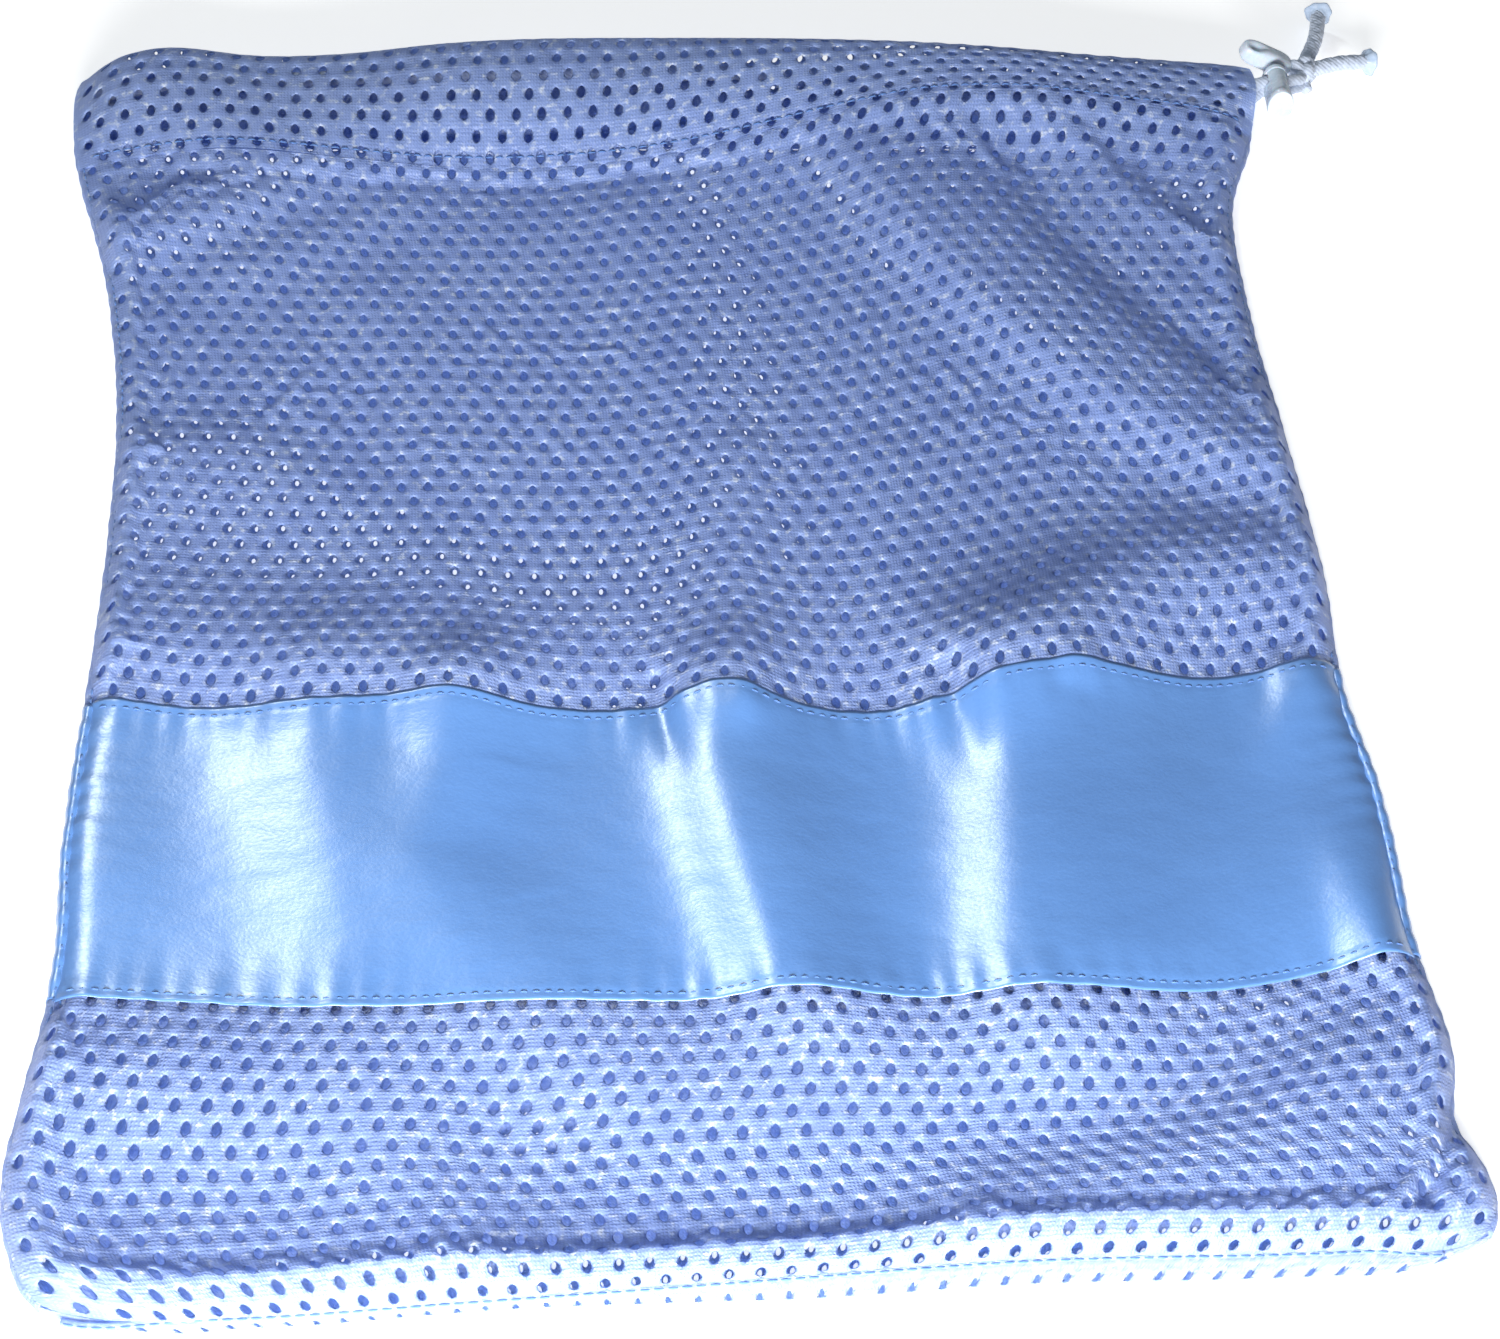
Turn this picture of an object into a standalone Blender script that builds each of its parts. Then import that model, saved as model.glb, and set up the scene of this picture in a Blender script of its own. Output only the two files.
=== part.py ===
"""Mesh laundry bag with a satin band, a drawcord hem and a push-button cord lock.

The bag lies flat on its back. X runs across the bag, Y runs from the closed bottom towards the
mouth, Z is up. The origin is the centre of the back satin band's underside. Units are metres.
"""

import math

import bmesh
import bpy
from mathutils import Matrix, Vector

# ---- driving dimensions -----------------------------------------------------------------------
GAP = 0.0003                    # clearance left between neighbouring pieces

# Outline of the flat bag
MOUTH_Y = 0.268                 # open edge of the hem
BOTTOM_Y = -0.114               # closed bottom edge
HEM_WIDTH = 0.030               # flattened width of the cord casing
SATIN_HALF = 0.0415             # half the height of the satin band
WAIST_Y = 0.120                 # where the sides pull in most
WAIST_HALF = 0.1405             # half the bag's width there
MOUTH_FLARE = 0.0115            # how much each side widens from the waist up to the hem
BOTTOM_FLARE = 0.0100           # how much each side widens from the waist down to the bottom
CORNER_RADIUS = 0.012           # bottom corners
HEM_LEFT, HEM_RIGHT = -0.155, 0.151

# Height of the loosely filled bag
EDGE_Z = 0.003                  # front panels where they meet the side seams
CREST_Z = 0.0085                # front panels along the middle of the satin band
HEM_CREST_Z = 0.0165            # front panel along the middle where it meets the hem
ROLL_Z = 0.0140                 # soft roll along the bottom edge
NOSE_DEPTH = 0.012              # how far back the rounded bottom edge starts
CROWN_POWER = 4                 # how square the cross-section is
CREST_POWER = 3                 # how late the front panel rises to the hem

# Cloth
MESH_THICK = 0.0008
SATIN_THICK = 0.0005
SEAM_WIDTH = 0.003
SEAM_HEIGHT = 0.0042
THREAD = 0.0003
THREAD_WIDTH = 0.0006
STITCH_INSET = 0.0022           # stitch line to the satin band's edge
HEM_STITCH_INSET = 0.0045       # stitch line to the hem's lower edge

# Cord casing: two flat sleeves, one over the other, with the mouth between them
SLEEVE_HEIGHT = 0.007
SLEEVE_WALL = 0.0005
MOUTH_GAP = 0.0055
CASING_SPLIT = -0.048           # left end of the fixed sleeves
END_INSERT = 0.032              # how far the sliding end reaches into them
END_WALL = 0.0012
EXIT_SLIT = 0.009               # slit in each inner wall where the cord leaves

# Cord
CORD_RADIUS = 0.0019
PINCHED_RADIUS = 0.0013         # each strand where the lock squeezes it
PINCHED_SPACING = 0.0029
CORD_Y = 0.2615                 # strands lie along the top of the hem
KNOT_RADIUS = 0.0024
KNOT_FROM_LOCK = Vector((0.0100, 0.0110, -0.0013))
KNOT_VOXEL = 0.0007             # fineness of the knot's merged skin
TAIL_UPPER = Vector((0.0059, 0.0212, -0.001))
TAIL_RIGHT = Vector((0.0102, 0.0025, -0.001))
TAIL_ARCH = 0.001               # how much each tail rises in its middle
KNOT_CLEAR = 0.0052             # knot's centre to where the tails start
TIP_RADIUS = 0.0036
TIP_LENGTH = 0.0022

# Cord lock; its button slides along Y
LOCK = Vector((0.1606, 0.2585, 0.0075))     # centre of the cord hole
BARREL_HALF_X, BARREL_HALF_Z = 0.0035, 0.0051
BARREL_WALL = 0.0008
BARREL_BELOW = 0.0087           # cord hole's centre to the barrel's closed end
BARREL_ABOVE = 0.0033           # cord hole's centre to the barrel's open end
BARREL_FLOOR = 0.001
HOLE_HALF_Y, HOLE_HALF_Z = 0.0016, 0.0031
BUTTON_TRAVEL = 0.002
SHAFT_BELOW = 0.0031            # cord hole's centre to the shaft's lower end
HEAD_LENGTH, HEAD_THICK, HEAD_DEEP = 0.0155, 0.0060, 0.0058
HEAD_SHIFT_X, HEAD_SHIFT_Z = -0.0018, 0.0022
HEAD_TILT = math.radians(27)
SPRING_COIL, SPRING_WIRE, SPRING_TURNS = 0.0016, 0.00025, 4

SEAM_Y = MOUTH_Y - HEM_WIDTH
FRONT_Z = SLEEVE_HEIGHT + MOUTH_GAP         # underside of the front sleeve
FRONT_STRAND_Z = FRONT_Z + SLEEVE_HEIGHT / 2
BACK_STRAND_Z = SLEEVE_HEIGHT / 2


# ---- small sums -------------------------------------------------------------------------------
def spread(low, high, count):
    """count + 1 evenly spaced values from low to high."""
    return [low + (high - low) * i / count for i in range(count + 1)]


def ease(t):
    """Goes from 0 to 1, level at both ends."""
    return t * t * (3 - 2 * t)


# ---- scene, materials and mesh helpers --------------------------------------------------------
def clear_scene():
    for obj in list(bpy.data.objects):
        bpy.data.objects.remove(obj)


def make_material(name, colour, roughness, metallic=0.0):
    material = bpy.data.materials.new(name)
    material.use_nodes = True
    shader = material.node_tree.nodes["Principled BSDF"]
    shader.inputs["Base Color"].default_value = (*colour, 1.0)
    shader.inputs["Roughness"].default_value = roughness
    shader.inputs["Metallic"].default_value = metallic
    return material


def make_body(name, location):
    """An empty that carries the pieces of one moving body."""
    empty = bpy.data.objects.new(name, None)
    empty.location = location
    empty.empty_display_size = 0.01
    bpy.context.scene.collection.objects.link(empty)
    return empty


def link_mesh(name, bm, material, smooth):
    """Turns bm into a mesh object in the scene."""
    mesh = bpy.data.meshes.new(name)
    bm.to_mesh(mesh)
    bm.free()
    if smooth:
        mesh.shade_smooth()
        mesh.set_sharp_from_angle(angle=math.radians(40))
    mesh.materials.append(material)
    obj = bpy.data.objects.new(name, mesh)
    bpy.context.scene.collection.objects.link(obj)
    return obj


def add_object(name, bm, material, parent=None, smooth=True):
    """Turns bm, a closed shape in world coordinates, into an object whose origin is its parent's."""
    bmesh.ops.recalc_face_normals(bm, faces=bm.faces)
    obj = link_mesh(name, bm, material, smooth)
    if parent is not None:
        obj.data.transform(Matrix.Translation(-parent.location))
        obj.parent = parent
    return obj


def join_rings(bm, rings):
    """Skins a list of vertex rings, and fills the first and the last."""
    for first, second in zip(rings, rings[1:]):
        count = len(first)
        for i in range(count):
            j = (i + 1) % count
            bm.faces.new((first[i], first[j], second[j], second[i]))
    bm.faces.new(rings[0])
    bm.faces.new(rings[-1])


def sweep(bm, path, radii, sides=14):
    """A round tube along path, with its own radius at each point."""
    rings = []
    side = Vector((0, 1, 0))
    for i, point in enumerate(path):
        ahead = path[min(i + 1, len(path) - 1)] - path[max(i - 1, 0)]
        tangent = ahead.normalized()
        if abs(tangent.dot(side)) > 0.9:
            side = Vector((0, 0, 1))
        side = (side - tangent * side.dot(tangent)).normalized()
        across = tangent.cross(side)
        ring = []
        for k in range(sides):
            turn = 2 * math.pi * k / sides
            offset = side * math.cos(turn) + across * math.sin(turn)
            ring.append(bm.verts.new(point + offset * radii[i]))
        rings.append(ring)
    join_rings(bm, rings)


def box(bm, low, high):
    """An axis-aligned box between two corners."""
    size = Vector(high) - Vector(low)
    centre = (Vector(high) + Vector(low)) / 2
    matrix = Matrix.Translation(centre) @ Matrix.Diagonal((*size, 1))
    bmesh.ops.create_cube(bm, size=1.0, matrix=matrix)


def add_cutter(name, bm, operation, target, parent=None):
    """Keeps bm as a hidden helper that cuts or joins target, as the last modifier."""
    cutter = add_object(name, bm, target.data.materials[0], parent, smooth=False)
    cutter.hide_render = True
    cutter.display_type = "WIRE"
    boolean = target.modifiers.new(name, "BOOLEAN")
    boolean.operation = operation
    boolean.solver = "EXACT"
    boolean.object = cutter
    return cutter


# ---- outline of the bag -----------------------------------------------------------------------
def half_width(y):
    """Half the bag's width at height y: drawn in at the waist, with rounded bottom corners."""
    if y > WAIST_Y:
        width = WAIST_HALF + MOUTH_FLARE * ((y - WAIST_Y) / (SEAM_Y - WAIST_Y)) ** 2
    else:
        width = WAIST_HALF + BOTTOM_FLARE * ((WAIST_Y - y) / (WAIST_Y - BOTTOM_Y)) ** 2
    into_corner = BOTTOM_Y + CORNER_RADIUS - y
    if into_corner > 0:
        width -= CORNER_RADIUS - math.sqrt(max(CORNER_RADIUS**2 - into_corner**2, 0))
    return width


def crest(y):
    """Height of the front panels along the bag's middle."""
    if y > SATIN_HALF:
        rise = (y - SATIN_HALF) / (SEAM_Y - SATIN_HALF)
        return CREST_Z + (HEM_CREST_Z - CREST_Z) * rise**CREST_POWER
    nose_top = BOTTOM_Y + NOSE_DEPTH
    if y > nose_top:
        rise = max((-SATIN_HALF - y) / (-SATIN_HALF - nose_top), 0.0)
        return CREST_Z + (ROLL_Z - CREST_Z) * ease(rise)
    into_nose = min((nose_top - y) / NOSE_DEPTH, 1.0)
    return EDGE_Z + (ROLL_Z - EDGE_Z) * math.sqrt(1 - into_nose**2)


def add_panel(name, stations, material, thickness, front, lift=0.0, across=20):
    """A sheet between the side seams, crowned on the front of the bag and flat on its back."""
    bm = bmesh.new()
    rows = []
    for y in stations:
        reach = half_width(y) - SEAM_WIDTH - GAP
        row = []
        for u in spread(-1.0, 1.0, across if front else 2):
            z = lift
            if front:
                z += EDGE_Z + (crest(y) - EDGE_Z) * (1 - abs(u) ** CROWN_POWER)
            row.append(bm.verts.new((u * reach, y, z)))
        rows.append(row)
    for low, high in zip(rows, rows[1:]):
        for i in range(len(low) - 1):
            bm.faces.new((low[i], low[i + 1], high[i + 1], high[i]))
    bmesh.ops.recalc_face_normals(bm, faces=bm.faces)
    upwards = bm.faces[:][0].normal.z > 0
    if upwards != front:
        bmesh.ops.reverse_faces(bm, faces=bm.faces)
    obj = link_mesh(name, bm, material, smooth=True)
    solid = obj.modifiers.new("thickness", "SOLIDIFY")
    solid.thickness = thickness
    solid.offset = -1.0
    solid.use_even_offset = True
    return obj


# ---- cloth panels -----------------------------------------------------------------------------
def nose_stations():
    """Heights along the lower panel, closer together round the bottom edge."""
    top = BOTTOM_Y + NOSE_DEPTH
    arc = [top - NOSE_DEPTH * math.sin(angle) for angle in spread(0, math.pi / 2, 6)]
    return arc[::-1] + spread(top, -SATIN_HALF - GAP, 5)[1:]


def make_panels(mesh_cloth, satin):
    satin_rows = spread(-SATIN_HALF, SATIN_HALF, 6)
    upper_rows = spread(SATIN_HALF + GAP, SEAM_Y - GAP, 10)
    low_end = BOTTOM_Y + SEAM_WIDTH + GAP
    back_rows = [low_end] + spread(BOTTOM_Y + CORNER_RADIUS / 2, -SATIN_HALF - GAP, 6)
    add_panel("upper_mesh_front", upper_rows, mesh_cloth, MESH_THICK, front=True)
    add_panel("upper_mesh_back", upper_rows, mesh_cloth, MESH_THICK, front=False)
    add_panel("satin_band_front", satin_rows, satin, SATIN_THICK, front=True)
    add_panel("satin_band_back", satin_rows, satin, SATIN_THICK, front=False)
    add_panel("lower_mesh_front", nose_stations(), mesh_cloth, MESH_THICK, front=True)
    add_panel("lower_mesh_back", back_rows, mesh_cloth, MESH_THICK, front=False)


def make_band_stitching(thread):
    """The four lines of topstitching that hold the satin band, front and back."""
    for edge, sign in (("top", 1), ("bottom", -1)):
        middle = sign * (SATIN_HALF - STITCH_INSET)
        rows = [middle - THREAD_WIDTH / 2, middle + THREAD_WIDTH / 2]
        front_lift = GAP + THREAD
        back_lift = SATIN_THICK + GAP
        name = f"satin_{edge}_stitching"
        add_panel(f"{name}_front", rows, thread, THREAD, front=True, lift=front_lift)
        add_panel(f"{name}_back", rows, thread, THREAD, front=False, lift=back_lift)


# ---- seams ------------------------------------------------------------------------------------
def side_stations():
    """Heights along a side seam, closer together round the bottom corner."""
    corner = spread(BOTTOM_Y + SEAM_WIDTH + GAP, BOTTOM_Y + CORNER_RADIUS, 6)
    return corner[:-1] + spread(corner[-1], SEAM_Y - GAP, 22)


def add_side_strip(name, side, material, from_edge, width, low_z, high_z):
    """A flat strip that follows the bag's side, from_edge inside the outline."""
    bm = bmesh.new()
    rings = []
    for y in side_stations():
        outer = side * (half_width(y) - from_edge)
        inner = outer - side * width
        section = ((inner, low_z), (outer, low_z), (outer, high_z), (inner, high_z))
        rings.append([bm.verts.new((x, y, z)) for x, z in section])
    join_rings(bm, rings)
    return add_object(name, bm, material)


def make_side_seam(label, side, material, thread):
    """The folded and sewn edge that joins the front and back panels down one side."""
    seam = add_side_strip(f"side_seam_{label}", side, material, 0, SEAM_WIDTH, 0, SEAM_HEIGHT)
    add_bevel(seam, SEAM_WIDTH * 0.2)
    middle = (SEAM_WIDTH - THREAD_WIDTH) / 2
    low_z = SEAM_HEIGHT + GAP
    name = f"side_stitching_{label}"
    add_side_strip(name, side, thread, middle, THREAD_WIDTH, low_z, low_z + THREAD)


def add_bevel(obj, width):
    bevel = obj.modifiers.new("soft edges", "BEVEL")
    bevel.width = width
    bevel.segments = 2
    bevel.limit_method = "ANGLE"
    bevel.angle_limit = math.radians(40)


def make_bottom_seam(material, thread):
    """The seam along the closed bottom, under the rounded lower edge of the front panel."""
    y_in = BOTTOM_Y + SEAM_WIDTH
    reach = half_width(y_in) - SEAM_WIDTH - 2 * GAP
    height = EDGE_Z - MESH_THICK - GAP
    bm = bmesh.new()
    box(bm, (-reach, BOTTOM_Y, 0), (reach, y_in, height))
    seam = add_object("bottom_seam", bm, material)
    add_bevel(seam, SEAM_WIDTH * 0.2)
    stitch = bmesh.new()
    y_out = BOTTOM_Y - GAP
    low_z = (height - THREAD_WIDTH) / 2
    box(stitch, (-reach, y_out - THREAD, low_z), (reach, y_out, low_z + THREAD_WIDTH))
    add_object("bottom_stitching", stitch, thread, smooth=False)


# ---- cord casing ------------------------------------------------------------------------------
def sleeve_section(low_z, inset):
    """Rounded outline, in Y and Z, of one flat sleeve drawn in by inset."""
    low_y, high_y = SEAM_Y + inset, MOUTH_Y - inset
    bottom, top = low_z + inset, low_z + SLEEVE_HEIGHT - inset
    radius = (top - bottom) * 0.46
    points = []
    corners = (
        (high_y - radius, top - radius, 0),
        (low_y + radius, top - radius, 90),
        (low_y + radius, bottom + radius, 180),
        (high_y - radius, bottom + radius, 270),
    )
    for y, z, start in corners:
        for degrees in spread(start, start + 90, 5):
            turn = math.radians(degrees)
            points.append((y + radius * math.cos(turn), z + radius * math.sin(turn)))
    return points


def add_prism(bm, section, x_low, x_high):
    rings = [[bm.verts.new((x, y, z)) for y, z in section] for x in (x_low, x_high)]
    join_rings(bm, rings)


def make_sleeve(name, low_z, slit_z, material):
    """One fixed sleeve of the hem, with the slit near its right end where the cord comes out."""
    bm = bmesh.new()
    add_prism(bm, sleeve_section(low_z, 0.0), CASING_SPLIT, HEM_RIGHT)
    sleeve = add_object(name, bm, material)
    hollow = bmesh.new()
    overrun = 0.002
    add_prism(hollow, sleeve_section(low_z, SLEEVE_WALL), CASING_SPLIT - overrun, HEM_RIGHT + overrun)
    add_cutter(f"{name}_hollow", hollow, "DIFFERENCE", sleeve)
    slit = bmesh.new()
    half = CORD_RADIUS + 2 * GAP
    low = (HEM_RIGHT - EXIT_SLIT, LOCK.y - half, slit_z - 2 * SLEEVE_WALL)
    high = (HEM_RIGHT + overrun, CORD_Y + half, slit_z + 2 * SLEEVE_WALL)
    box(slit, low, high)
    add_cutter(f"{name}_slit", slit, "DIFFERENCE", sleeve)
    return sleeve


def make_casing_end(parent, material):
    """The far end of the hem: two arms that slide in the fixed sleeves, joined round the cord's bend."""
    slip = SLEEVE_WALL + GAP
    arm_right = CASING_SPLIT + END_INSERT
    cap_right = HEM_LEFT + 0.014
    overrun = 0.002
    bm = bmesh.new()
    add_prism(bm, sleeve_section(0.0, slip), HEM_LEFT, arm_right)
    end = add_object("casing_end", bm, material, parent)
    arm = bmesh.new()
    add_prism(arm, sleeve_section(FRONT_Z, slip), HEM_LEFT, arm_right)
    add_cutter("casing_end_arm", arm, "UNION", end, parent)
    cap = bmesh.new()
    low = (HEM_LEFT, SEAM_Y + slip + 0.003, SLEEVE_HEIGHT / 2)
    high = (cap_right, MOUTH_Y - slip - 0.003, FRONT_STRAND_Z)
    box(cap, low, high)
    add_cutter("casing_end_cap", cap, "UNION", end, parent)
    inset = slip + SLEEVE_WALL
    for label, low_z in (("back", 0.0), ("front", FRONT_Z)):
        hollow = bmesh.new()
        add_prism(hollow, sleeve_section(low_z, inset), HEM_LEFT + END_WALL, arm_right + overrun)
        add_cutter(f"casing_end_hollow_{label}", hollow, "DIFFERENCE", end, parent)
    bend = bmesh.new()
    low = (HEM_LEFT + END_WALL, CORD_Y - CORD_RADIUS - 2 * GAP, SLEEVE_HEIGHT / 2)
    high = (cap_right + overrun, CORD_Y + CORD_RADIUS + 2 * GAP, FRONT_STRAND_Z)
    box(bend, low, high)
    add_cutter("casing_end_bend", bend, "DIFFERENCE", end, parent)
    return end


def make_hem_stitching(thread):
    """The line of stitching that closes each sleeve, on its outer face at the front."""
    y = SEAM_Y + HEM_STITCH_INSET
    heights = {
        "hem_stitching_front": FRONT_Z + SLEEVE_HEIGHT + GAP,
        "hem_stitching_back": SLEEVE_HEIGHT + GAP,
    }
    for name, z in heights.items():
        bm = bmesh.new()
        low = (CASING_SPLIT, y - THREAD_WIDTH / 2, z)
        high = (HEM_RIGHT, y + THREAD_WIDTH / 2, z + THREAD)
        box(bm, low, high)
        add_object(name, bm, thread, smooth=False)


# ---- drawcord ---------------------------------------------------------------------------------
def strand(rest_z, side, start_x):
    """Points and radii of one strand, from the lock's far side to start_x at the bag's left."""
    pinched_z = LOCK.z + side * PINCHED_SPACING / 2
    narrow = LOCK.x - BARREL_HALF_X - GAP
    wide = HEM_RIGHT - EXIT_SLIT + 0.001
    path = [Vector((LOCK.x + BARREL_HALF_X + GAP, LOCK.y, pinched_z))]
    radii = [PINCHED_RADIUS]
    for t in spread(0, 1, 10):
        x = narrow + (wide - narrow) * t
        w = ease(t)
        y = LOCK.y + (CORD_Y - LOCK.y) * w
        path.append(Vector((x, y, pinched_z + (rest_z - pinched_z) * w)))
        radii.append(PINCHED_RADIUS + (CORD_RADIUS - PINCHED_RADIUS) * w)
    path.append(Vector((start_x, CORD_Y, rest_z)))
    radii.append(CORD_RADIUS)
    return path, radii


def make_drawcord(material):
    """The loop of cord: out through the front sleeve, round the left end, back through the back one."""
    bend_radius = (FRONT_STRAND_Z - BACK_STRAND_Z) / 2
    bend_x = HEM_LEFT + END_WALL + CORD_RADIUS + 2 * GAP + bend_radius
    middle_z = (FRONT_STRAND_Z + BACK_STRAND_Z) / 2
    front_path, front_radii = strand(FRONT_STRAND_Z, 1, bend_x)
    back_path, back_radii = strand(BACK_STRAND_Z, -1, bend_x)
    bend = []
    for turn in spread(math.pi / 2, 3 * math.pi / 2, 12)[1:-1]:
        x = bend_x + bend_radius * math.cos(turn)
        bend.append(Vector((x, CORD_Y, middle_z + bend_radius * math.sin(turn))))
    bm = bmesh.new()
    path = front_path + bend + back_path[::-1]
    sweep(bm, path, front_radii + [CORD_RADIUS] * len(bend) + back_radii[::-1])
    add_object("drawcord", bm, material)


def knot_point(turn, centre):
    """A point on the overhand knot, drawn as a tight trefoil standing on its edge."""
    x = math.sin(turn) + 2 * math.sin(2 * turn)
    y = math.cos(turn) - 2 * math.cos(2 * turn)
    z = -math.sin(3 * turn)
    return centre + KNOT_RADIUS * Vector((x / 3, y / 3, z * 0.45))


def make_knot(parent, material):
    """The overhand knot, with the two short legs that reach it from the lock."""
    centre = parent.location
    bm = bmesh.new()
    turns = spread(0, 2 * math.pi, 48)[:-1]
    path = [knot_point(turn, centre) for turn in turns]
    sweep(bm, path + path[:2], [CORD_RADIUS] * (len(path) + 2), sides=12)
    leg_start_x = LOCK.x + BARREL_HALF_X + 3 * GAP
    for side in (1, -1):
        start = Vector((leg_start_x, LOCK.y, LOCK.z + side * PINCHED_SPACING / 2))
        elbow = Vector((centre.x, LOCK.y + 0.001, centre.z + side * PINCHED_SPACING / 2))
        leg = []
        for t in spread(0, 1, 8):
            leg.append(start.lerp(elbow, t).lerp(elbow.lerp(centre, t), t))
        radii = [PINCHED_RADIUS + (CORD_RADIUS - PINCHED_RADIUS) * ease(t) for t in spread(0, 1, 8)]
        sweep(bm, leg, radii, sides=12)
    knot = add_object("cord_knot", bm, material, parent)
    remesh = knot.modifiers.new("one body", "REMESH")
    remesh.mode = "VOXEL"
    remesh.voxel_size = KNOT_VOXEL
    remesh.use_smooth_shade = True


def make_tail(name, start, reach, parent, cord, melted):
    """A free end of the cord, with a slight curve, and the melted tip that stops it fraying."""
    lift = Vector((0, 0, TAIL_ARCH))
    path = [start + reach * t + lift * math.sin(math.pi * t) for t in spread(0, 1, 8)]
    bm = bmesh.new()
    sweep(bm, path, [CORD_RADIUS] * len(path))
    add_object(f"cord_tail_{name}", bm, cord, parent)
    along = (path[-1] - path[-2]).normalized()
    base = path[-1] + along * GAP
    steps = spread(0, 1, 5)
    profile = [CORD_RADIUS + (TIP_RADIUS - CORD_RADIUS) * ease(t) for t in steps]
    bm = bmesh.new()
    sweep(bm, [base + along * TIP_LENGTH * t for t in steps], profile)
    add_object(f"cord_tip_{name}", bm, melted, parent)


def make_tails(parent, cord, melted):
    for name, reach in (("upper", TAIL_UPPER), ("right", TAIL_RIGHT)):
        start = parent.location + reach.normalized() * KNOT_CLEAR
        make_tail(name, start, reach, parent, cord, melted)


# ---- cord lock --------------------------------------------------------------------------------
def oval_prism(bm, centre, half_x, half_z, y_low, y_high, sides=28):
    rings = []
    for y in (y_low, y_high):
        ring = []
        for k in range(sides):
            turn = 2 * math.pi * k / sides
            x = centre.x + half_x * math.cos(turn)
            z = centre.z + half_z * math.sin(turn)
            ring.append(bm.verts.new((x, y, z)))
        rings.append(ring)
    join_rings(bm, rings)


def make_barrel(parent, plastic):
    """The lock's oval barrel: closed at the bottom, open at the top, crossed by the cord hole."""
    low, high = LOCK.y - BARREL_BELOW, LOCK.y + BARREL_ABOVE
    bm = bmesh.new()
    oval_prism(bm, LOCK, BARREL_HALF_X, BARREL_HALF_Z, low, high)
    barrel = add_object("cord_lock_barrel", bm, plastic, parent)
    add_bevel(barrel, 0.0006)
    bore = bmesh.new()
    inner_x, inner_z = BARREL_HALF_X - BARREL_WALL, BARREL_HALF_Z - BARREL_WALL
    oval_prism(bore, LOCK, inner_x, inner_z, low + BARREL_FLOOR, high + BARREL_FLOOR)
    add_cutter("barrel_bore", bore, "DIFFERENCE", barrel, parent)
    hole = bmesh.new()
    half = Vector((2 * BARREL_HALF_X, HOLE_HALF_Y, HOLE_HALF_Z))
    box(hole, LOCK - half, LOCK + half)
    add_cutter("barrel_cord_hole", hole, "DIFFERENCE", barrel, parent)


def make_button(parent, plastic):
    """The sprung button: a tilted bar for the thumb on an oval shaft with a slot for the cord."""
    shaft_x = BARREL_HALF_X - BARREL_WALL - GAP
    shaft_z = BARREL_HALF_Z - BARREL_WALL - GAP
    head_low = LOCK.y + BARREL_ABOVE + BUTTON_TRAVEL + GAP
    bm = bmesh.new()
    oval_prism(bm, LOCK, shaft_x, shaft_z, LOCK.y - SHAFT_BELOW, head_low + HEAD_DEEP / 2)
    button = add_object("cord_lock_button", bm, plastic, parent)
    centre = Vector((LOCK.x + HEAD_SHIFT_X, head_low + HEAD_DEEP / 2, LOCK.z + HEAD_SHIFT_Z))
    turn = Matrix.Translation(centre) @ Matrix.Rotation(HEAD_TILT, 4, "Y")
    head = bmesh.new()
    bmesh.ops.create_uvsphere(head, u_segments=24, v_segments=16, radius=1.0)
    square_off(head, 0.55)
    size = Matrix.Diagonal((HEAD_LENGTH / 2, HEAD_DEEP / 2, HEAD_THICK / 2, 1))
    bmesh.ops.transform(head, matrix=turn @ size, verts=head.verts)
    add_cutter("button_head", head, "UNION", button, parent)
    dimple = bmesh.new()
    bmesh.ops.create_uvsphere(dimple, u_segments=20, v_segments=12, radius=1.0)
    seat = turn @ Matrix.Translation((-HEAD_LENGTH * 0.30, -HEAD_DEEP * 0.20, HEAD_THICK * 0.52))
    hollow = Matrix.Diagonal((0.0021, 0.0016, 0.0013, 1))
    bmesh.ops.transform(dimple, matrix=seat @ hollow, verts=dimple.verts)
    add_cutter("button_dimple", dimple, "DIFFERENCE", button, parent)
    slot = bmesh.new()
    low = (LOCK.x - BARREL_HALF_X, LOCK.y - HOLE_HALF_Y, LOCK.z - HOLE_HALF_Z)
    high = (LOCK.x + BARREL_HALF_X, LOCK.y + HOLE_HALF_Y + BUTTON_TRAVEL, LOCK.z + HOLE_HALF_Z)
    box(slot, low, high)
    add_cutter("button_slot", slot, "DIFFERENCE", button, parent)


def square_off(bm, power):
    """Turns a unit sphere into a rounder-cornered block."""
    for vert in bm.verts:
        for i in range(3):
            vert.co[i] = math.copysign(abs(vert.co[i]) ** power, vert.co[i])


def make_spring(parent, steel):
    """The coil spring between the barrel's floor and the shaft."""
    low = LOCK.y - BARREL_BELOW + BARREL_FLOOR + GAP + SPRING_WIRE
    high = LOCK.y - SHAFT_BELOW - GAP - SPRING_WIRE
    steps = SPRING_TURNS * 16
    path = []
    for i in range(steps + 1):
        turn = 2 * math.pi * SPRING_TURNS * i / steps
        y = low + (high - low) * i / steps
        x = LOCK.x + SPRING_COIL * math.cos(turn)
        path.append(Vector((x, y, LOCK.z + SPRING_COIL * math.sin(turn))))
    bm = bmesh.new()
    sweep(bm, path, [SPRING_WIRE] * len(path), sides=8)
    add_object("cord_lock_spring", bm, steel, parent)


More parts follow.
